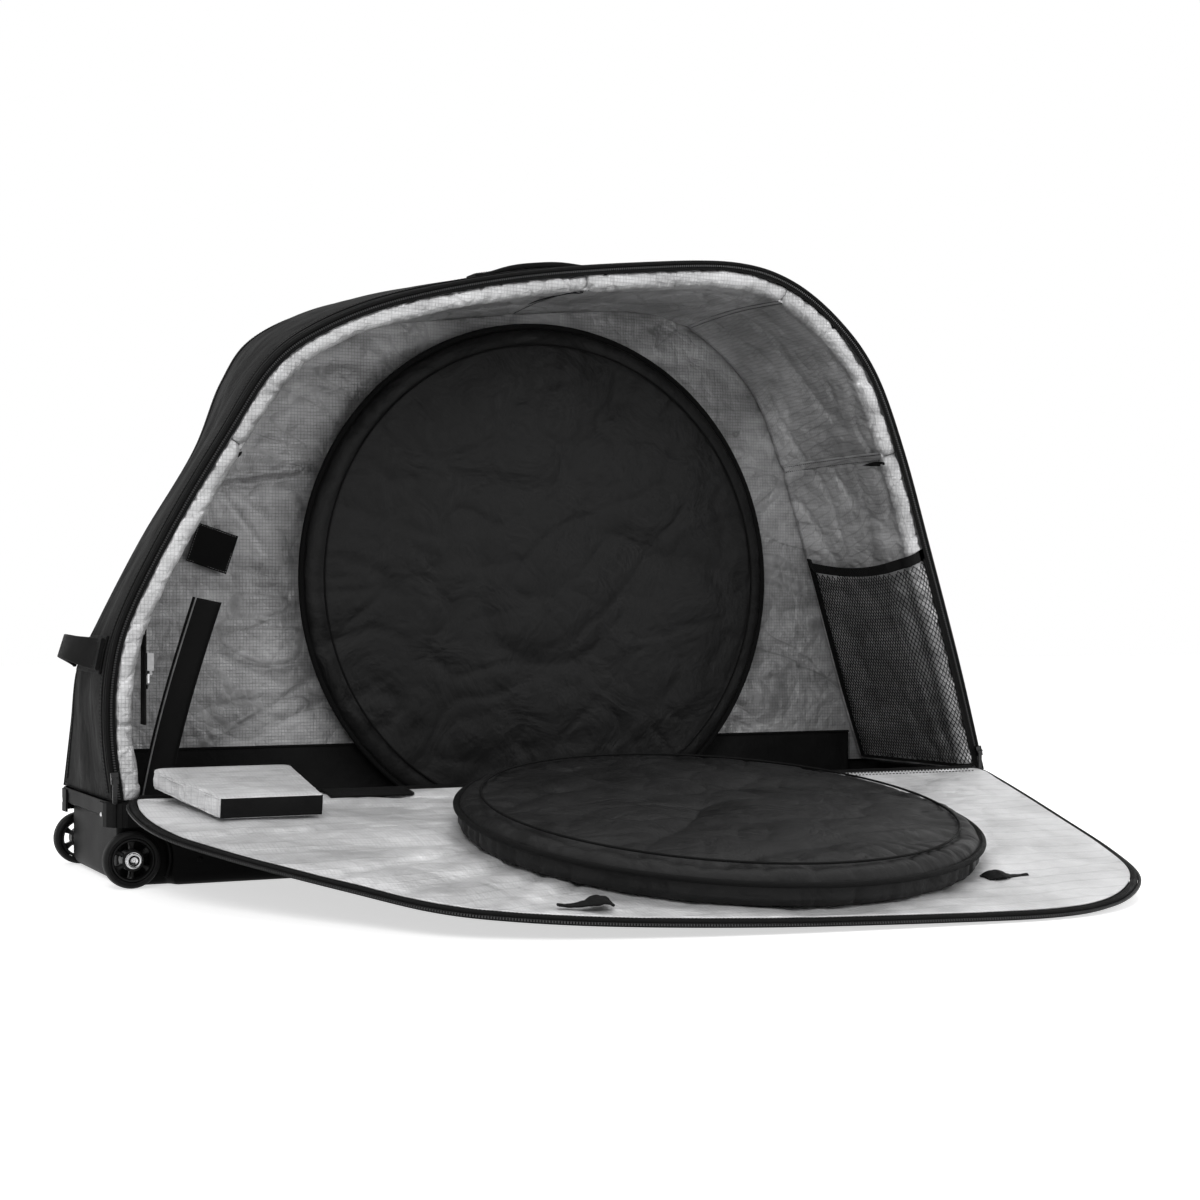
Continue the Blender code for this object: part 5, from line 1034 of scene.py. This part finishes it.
def loose_pad():
    """Loose tapering pad: far end propped on the hinge, piped edges, black strip at the near end."""
    start, end, thick = FLAP_START + 0.009, FLAP_START + 0.149, 0.0285

    def floor(k):
        return 0.0075 + 0.0090 * (1 - k) ** 1.4

    def middle(k):
        return -0.562 + 0.026 * k

    def half(k):
        return 0.0925 - 0.0250 * k

    def creases(px, d, x, sa):
        fold = crease(0.0024, (px * 0.9 + d * 0.6, d * 2.2, 4.0), 7.0)
        return fold + 0.0010 * soft((x, d, sa), 22) + facet(0.0014, (x, d, sa), 18.0)

    def swell(x, d, sa):
        return 0.0020 * soft((x, d, sa), 40) + crease(0.0026, (x, d, sa), 14.0)

    k, a = plane(np.linspace(0, 1, 70), circle(64))
    ca, sa = np.cos(a), np.sin(a)
    d = start + (end - start) * k
    px = half(k) * np.copysign(np.abs(ca) ** 0.10, ca)
    pz = thick / 2 * np.copysign(np.abs(sa) ** 0.26, sa)
    x = middle(k) + px
    inner = np.maximum(np.sin(math.pi * k) * (1 - (px / half(k)) ** 2), 0)
    relief = 0.0036 * inner ** 0.5 + field(creases, px, d, x, sa) * np.minimum(inner * 3, 1.0)
    z = np.maximum(floor(k) + thick / 2 + pz + np.where(sa > 0.2, relief, 0), floor(k))
    x = x + np.where(np.abs(ca) > 0.7, np.copysign(field(swell, x, d, sa), px), 0)
    obj = grid_mesh("loose_pad_soft", on_flap(x, d, z), SILVER_PAD_LIT, "pad", ["loose_pad"], "bar", 60)
    # Piped edge round the top face
    corners = np.array([(middle(k) + side * (half(k) - 0.0008), start + (end - start) * k,
                         floor(k) + thick - 0.0030) for k, side in ((0, -1), (0, 1), (1, 1), (1, -1))])
    edge = on_flap(*resample(corners, 0.006, True).T)
    tube("loose_pad_edge", edge, 0.0013, SILVER_PAD_LIT, "pad", "ring", 8)
    X, Z = plane(np.linspace(-0.6035, -0.4685, 40),
                 np.linspace(floor(1) + 0.0008, floor(1) + thick - 0.0020, 14))
    bow = end + 0.0013 + 0.0012 * np.sin(math.pi * (Z - floor(1)) / thick)
    strip = grid_mesh("loose_pad_strip_web", on_flap(X, bow, Z), NYLON, "pad", ["loose_pad_strip"],
                      slot="trim_black")
    thicken(strip, 0.0018)


def hinge():
    """Hinge tape and welt with gathered fabric."""
    x = np.linspace(-0.670, 0.674, 300)
    welt = tube("hinge_welt_cloth", xyz(x, HINGE_Y, HINGE_Z), 0.0057, TAPE, sides=16, nodes=["hinge_welt"])
    displace(welt, lambda p, n: crease(0.0006, p, 30.0, 1))
    X, Z = plane(np.linspace(-0.6208, 0.674, 160), np.linspace(0.0885, 0.1175, 6))
    thicken(grid_mesh("hinge_tape_cloth", xyz(X, -0.1600, Z), TAPE, nodes=["hinge_tape"]), 0.0022, 0.0)


# Tub and wheels

def arc(cx, cy, r, start, n=10):
    """Quarter circle from a start angle in degrees."""
    turns = np.radians(start + 90 * np.arange(n + 1) / n)
    return [(cx + r * math.cos(a), cy + r * math.sin(a)) for a in turns]


def tub_ring(z, shrink, notch):
    """One outline of the tub; below the arches its wheeled end is narrower and kicks up."""
    left, right, half = -TUB_END + shrink, TUB_END - shrink, DEPTH / 2 - shrink
    r = 0.026 - shrink
    turn, near = r, half
    if notch:
        kick = END_KICK * (1 - math.sqrt(1 - (1 - min(z / END_KICK, 1)) ** 2))
        left, turn, near = -TUB_END + END_INSET + max(shrink, kick), 0.008, ARCH_NEAR - shrink
    step = WHEEL_X + math.sqrt(max(ARCH_R ** 2 - max(z - WHEEL_R, 0.0) ** 2, 0.0)) + shrink
    front = [(left, -near * 0.4)] + arc(left + turn, -near + turn, turn, 180)
    front += [(step - 0.004, -near), (step, -near - (half - near) * 0.15),
              (step + 0.004, -half + (half - near) * 0.2), (step + 0.007, -half)]
    front += arc(right - r, -half + r, r, 270) + [(right, -half * 0.4)]
    return [(x, y, z) for x, y in front + [(x, -y) for x, y in reversed(front)]]


def tub():
    """Moulded tub with rounded foot, wheel arches, a rim and small screw heads."""
    foot, rim, proud = 0.012, 0.108, 0.0008
    rings = [(foot * (1 - math.cos(a)), foot * (1 - math.sin(a)), True)
             for a in math.pi / 2 * np.arange(7) / 6]
    rings += [(z, 0.0, True) for z in np.linspace(0.015, WHEEL_R, 6)]
    rings += [(WHEEL_R + ARCH_R * math.sin(a), 0.0, True) for a in np.linspace(0.15, 1.45, 12)]
    rings += [(WHEEL_R + ARCH_R + 0.007, 0.0, False), (0.100, 0.0, False), (rim, 0.0, False),
              (rim + 0.0005, -proud, False), (TUB_H - 0.0005, -proud, False), (TUB_H, 0.0, False)]
    pts = np.array([tub_ring(*ring) for ring in rings])
    nu, nv = pts.shape[:2]
    faces = [[a * nv + b, a * nv + (b + 1) % nv, (a + 1) * nv + (b + 1) % nv, (a + 1) * nv + b]
             for a in range(nu - 1) for b in range(nv)]
    faces.append(list(range(nv))[::-1])
    thicken(piece("tub_shell", pts.reshape(-1, 3), faces, PLASTIC, "bag", ["base_tub"], 32), TUB_WALL)
    # Small screw heads low on both long sides
    head = [(0.0004, 0.0012), (0.0030, 0.0010), (0.0042, 0.0004), (0.0042, -0.0006), (0.0004, -0.0006)]
    for x in (-0.585, -0.30, 0.0, 0.30, 0.585):
        for side, label in ((-1, "f"), (1, "r")):
            lathe(f"tub_screw_{round(x * 1000) + 1000}_{label}", head,
                  (x, side * (DEPTH / 2 + 0.0002), 0.034), (0, side, 0), PLASTIC, steps=24)


def arch_trim():
    """Moulded lip over each wheel arch, straight on to the corner guard."""
    a, r = np.linspace(math.radians(-30), math.radians(90), 44), ARCH_R + 0.0022
    x = np.concatenate([WHEEL_X + r * np.cos(a), [WHEEL_X - 0.004, WHEEL_X - 0.009]])
    z = np.maximum(np.concatenate([WHEEL_R + r * np.sin(a), [WHEEL_R + r] * 2]), 0.0125)
    for side, label in ((-1, "front"), (1, "rear")):
        tube("arch_lip_" + label, xyz(x, side * (DEPTH / 2 + 0.0006), z), 0.0022, PLASTIC)


# Half profiles of the wheel's turned pieces as (radius, share of the half width)
TYRE = ((0.0292, 0.88), (0.0299, 0.97), (0.0316, 1.0), (0.0319, 0.93), (0.0328, 0.92),
        (0.0334, 0.96), (0.0352, 0.90), (0.0368, 0.72), (0.0377, 0.48), (0.0380, 0.20))
HUB_RIM = ((0.0288, 0.84), (0.0280, 0.92), (0.0262, 0.92), (0.0256, 0.74), (0.0246, 0.62))
HUB_CORE = ((0.0146, 0.90), (0.0135, 1.0), (0.0112, 1.0))
# Whole profiles as (radius, height over the wheel's outer face)
RACE = ((0.0109, 0.0002), (0.0044, 0.0002), (0.0044, -0.004), (0.0109, -0.004))
WASHER = ((0.0069, 0.0013), (0.0057, 0.0013), (0.0057, 0.0020), (0.0069, 0.0020))
BOLT_HEAD = ((0.0006, 0.0012), (0.0024, 0.0012), (0.0027, 0.0046), (0.0048, 0.0050), (0.0053, 0.0036),
             (0.0056, 0.0010), (0.0070, 0.0010), (0.0074, 0.0044), (0.0090, 0.0046), (0.0099, 0.0036),
             (0.0099, 0.0007), (0.0039, 0.0006))
BOLT_SHANK = ((0.0039, -0.0004), (0.0118, -0.0006), (0.0118, -0.0052), (0.0006, -0.0052))


def wheels():
    """Two transport wheels: tyre, spoked hub, bearing, and the bolt that they run on."""
    half = WHEEL_W / 2

    def both(shares):
        return [(r, half * h) for r, h in shares] + [(r, -half * h) for r, h in reversed(shares)]

    def raised(profile, by):
        return [(r, by + h) for r, h in profile]

    bolt = raised(BOLT_HEAD, half) + raised(BOLT_SHANK, -half)
    for side, label in ((-1, "front"), (1, "rear")):
        body, place = "wheel_" + label, ((WHEEL_X, side * WHEEL_Y, WHEEL_R), (0, side, 0))
        lathe(f"tyre_{label}_rubber", both(TYRE), *place, RUBBER, body, 96, ["tyre_" + label], 50)
        lathe(f"hub_{label}_rim", both(HUB_RIM), *place, HUB_PLASTIC, body, 96, ["hub_" + label])
        lathe(f"hub_{label}_core", both(HUB_CORE), *place, HUB_PLASTIC, body)
        hub_spokes(label, place[0], side, body)
        lathe(f"bearing_{label}_race", raised(RACE, half), *place, STEEL, body, 48, ["bearing_" + label])
        lathe(f"axle_{label}_bolt", bolt, *place, STEEL, nodes=["axle_bolt_" + label])
        lathe(f"axle_{label}_washer", raised(WASHER, half), *place, RUBBER, steps=48)


def hub_spokes(label, centre, side, body):
    """Six tapered spokes with fillets, and open windows between them."""
    inner, outer, rows = 0.0138, 0.0252, 7
    section = ((-1, -1), (1, -1), (1, 0.6), (0.5, 1), (-0.5, 1), (-1, 0.6))
    pts, faces = [], []
    for a in math.tau * (np.arange(6) + 0.5) / 6:
        out, across = np.array([math.cos(a), 0, math.sin(a)]), np.array([-math.sin(a), 0, math.cos(a)])
        first = len(pts)
        for r in np.linspace(inner, outer, rows):
            end = (2 * (r - inner) / (outer - inner) - 1) ** 2
            w, h = 0.178 * r + 0.0007 * end, 0.0045 + 0.0012 * end
            pts += [np.array(centre) + out * r + across * (w * u) + np.array([0, side * h * v, 0])
                    for u, v in section]
        for q in range(first, first + 36, 6):
            faces += [[q + j, q + (j + 1) % 6, q + 6 + (j + 1) % 6, q + 6 + j] for j in range(6)]
        faces += [list(range(first, first + 6))[::-1], list(range(first + 36, first + 42))]
    piece(f"hub_{label}_spokes", np.array(pts), faces, HUB_PLASTIC, body, smooth=40)


def give(look, *names):
    """Dress CAD nodes that stay."""
    for name in names:
        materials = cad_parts[name].data.materials
        materials.clear()
        materials.append(look.mat)


# Stage

def camera():
    """Camera at the photograph's viewing angle, for a frame 1200 pixels wide."""
    yaw, pitch, focal_pixels, frame_pixels, sensor = 0.453, -0.0105, 2073, 1200, 36
    data = bpy.data.cameras.new("photo_camera")
    data.sensor_width = sensor
    data.lens = focal_pixels * sensor / frame_pixels
    data.clip_end = 60
    cam = bpy.data.objects.new("photo_camera", data)
    bpy.context.scene.collection.objects.link(cam)
    bpy.context.scene.camera = cam
    cam.location = (-1.325, -2.910, 0.354)
    ahead = Vector((math.sin(yaw) * math.cos(pitch), math.cos(yaw) * math.cos(pitch), -math.sin(pitch)))
    cam.rotation_euler = ahead.to_track_quat("-Z", "Y").to_euler()


def paper_floor():
    """Pale floor that keeps the shadow and shows white to the camera."""
    size, level = 14.0, -0.0005
    mesh = bpy.data.meshes.new("floor")
    mesh.from_pydata([(x * size, y * size, level) for x, y in ((-1, -1), (1, -1), (1, 1), (-1, 1))],
                     [], [(0, 1, 2, 3)])
    floor = bpy.data.objects.new("floor", mesh)
    bpy.context.scene.collection.objects.link(floor)
    paper = Look("floor_paper", None, 0.86, 0.85)
    paper.tint(paper.noise(1.2, 2, 0.5), 0.85, 0.87, 1.0)
    white = paper.add("ShaderNodeEmission", Color=(1, 1, 1, 1))
    paper.link(paper.math("MULTIPLY", paper.seen(), 0.62), white.inputs["Strength"])
    both = paper.add("ShaderNodeAddShader")
    paper.link(paper.shader.outputs[0], both.inputs[0])
    paper.link(white.outputs[0], both.inputs[1])
    paper.link(both.outputs[0], paper.tree.nodes["Material Output"].inputs["Surface"])
    mesh.materials.append(paper.mat)


def stage():
    """Camera, floor, white room and three soft lamps."""
    camera()
    paper_floor()
    scene = bpy.context.scene
    scene.world = bpy.data.worlds.new("studio")
    room = Nodes(scene.world)
    room.tree.nodes.clear()
    mix = room.add("ShaderNodeMixShader")
    room.link(room.seen(), mix.inputs[0])
    for i, strength in ((1, 0.42), (2, 1.0)):
        light = room.add("ShaderNodeBackground", Color=(1, 1, 1, 1), Strength=strength)
        room.link(light.outputs[0], mix.inputs[i])
    room.link(mix.outputs[0], room.add("ShaderNodeOutputWorld").inputs[0])
    for name, at, target, size, power in (("key", (-2.2, -3.2, 2.6), (0.0, 0.0, 0.4), 1.5, 74),
                                          ("fill", (2.6, -3.0, 1.8), (0.1, 0.0, 0.4), 2.4, 42),
                                          ("top", (0.2, -0.4, 3.2), (0.0, 0.0, 0.3), 2.6, 38)):
        data = bpy.data.lights.new(name, "AREA")
        data.shape = "SQUARE"
        data.size = size
        data.energy = power
        lamp = bpy.data.objects.new(name, data)
        lamp.location = at
        lamp.rotation_euler = (Vector(target) - Vector(at)).to_track_quat("-Z", "Y").to_euler()
        scene.collection.objects.link(lamp)
    scene.view_settings.view_transform = "Standard"


stage()
side_wall()
back_walls()
wall_pads()
rim()
wheel_bag("rear", "bag", turned((0.045, 0.1366, 0.423), math.pi / 2, 0, 0), 0.400, 0.050, 1.7,
          (0.4040, 0.026), (0.372, 0.0435))
kick_band()
mesh_pocket()
frame_strap()
bare_patch()
handles()
hinge()
front_flap()
wheel_bag("front", "flap", FLAP @ Matrix.Translation((0, FLAP_START + 0.365, 0.0068)), 0.338, 0.0545, 5.2,
          (0.3423, 0.030), (0.311, 0.0475))
flap_trim()
loose_pad()
tub()
arch_trim()
wheels()
give(PLASTIC, "corner_guard_front", "corner_guard_rear")
give(STEEL, "guard_rivet_front", "guard_rivet_rear", "strap_ring")
give(CAST_METAL, "cam_buckle", "cam_lever")
give(DARK_METAL, "zip_slider_left", "zip_slider_right", "zip_pull_left", "zip_pull_right")
give(WEBBING, "buckle_webbing")
give(SILVER_BACK_SHADED, "floor_pad")
give(BOARD, "flap_board")
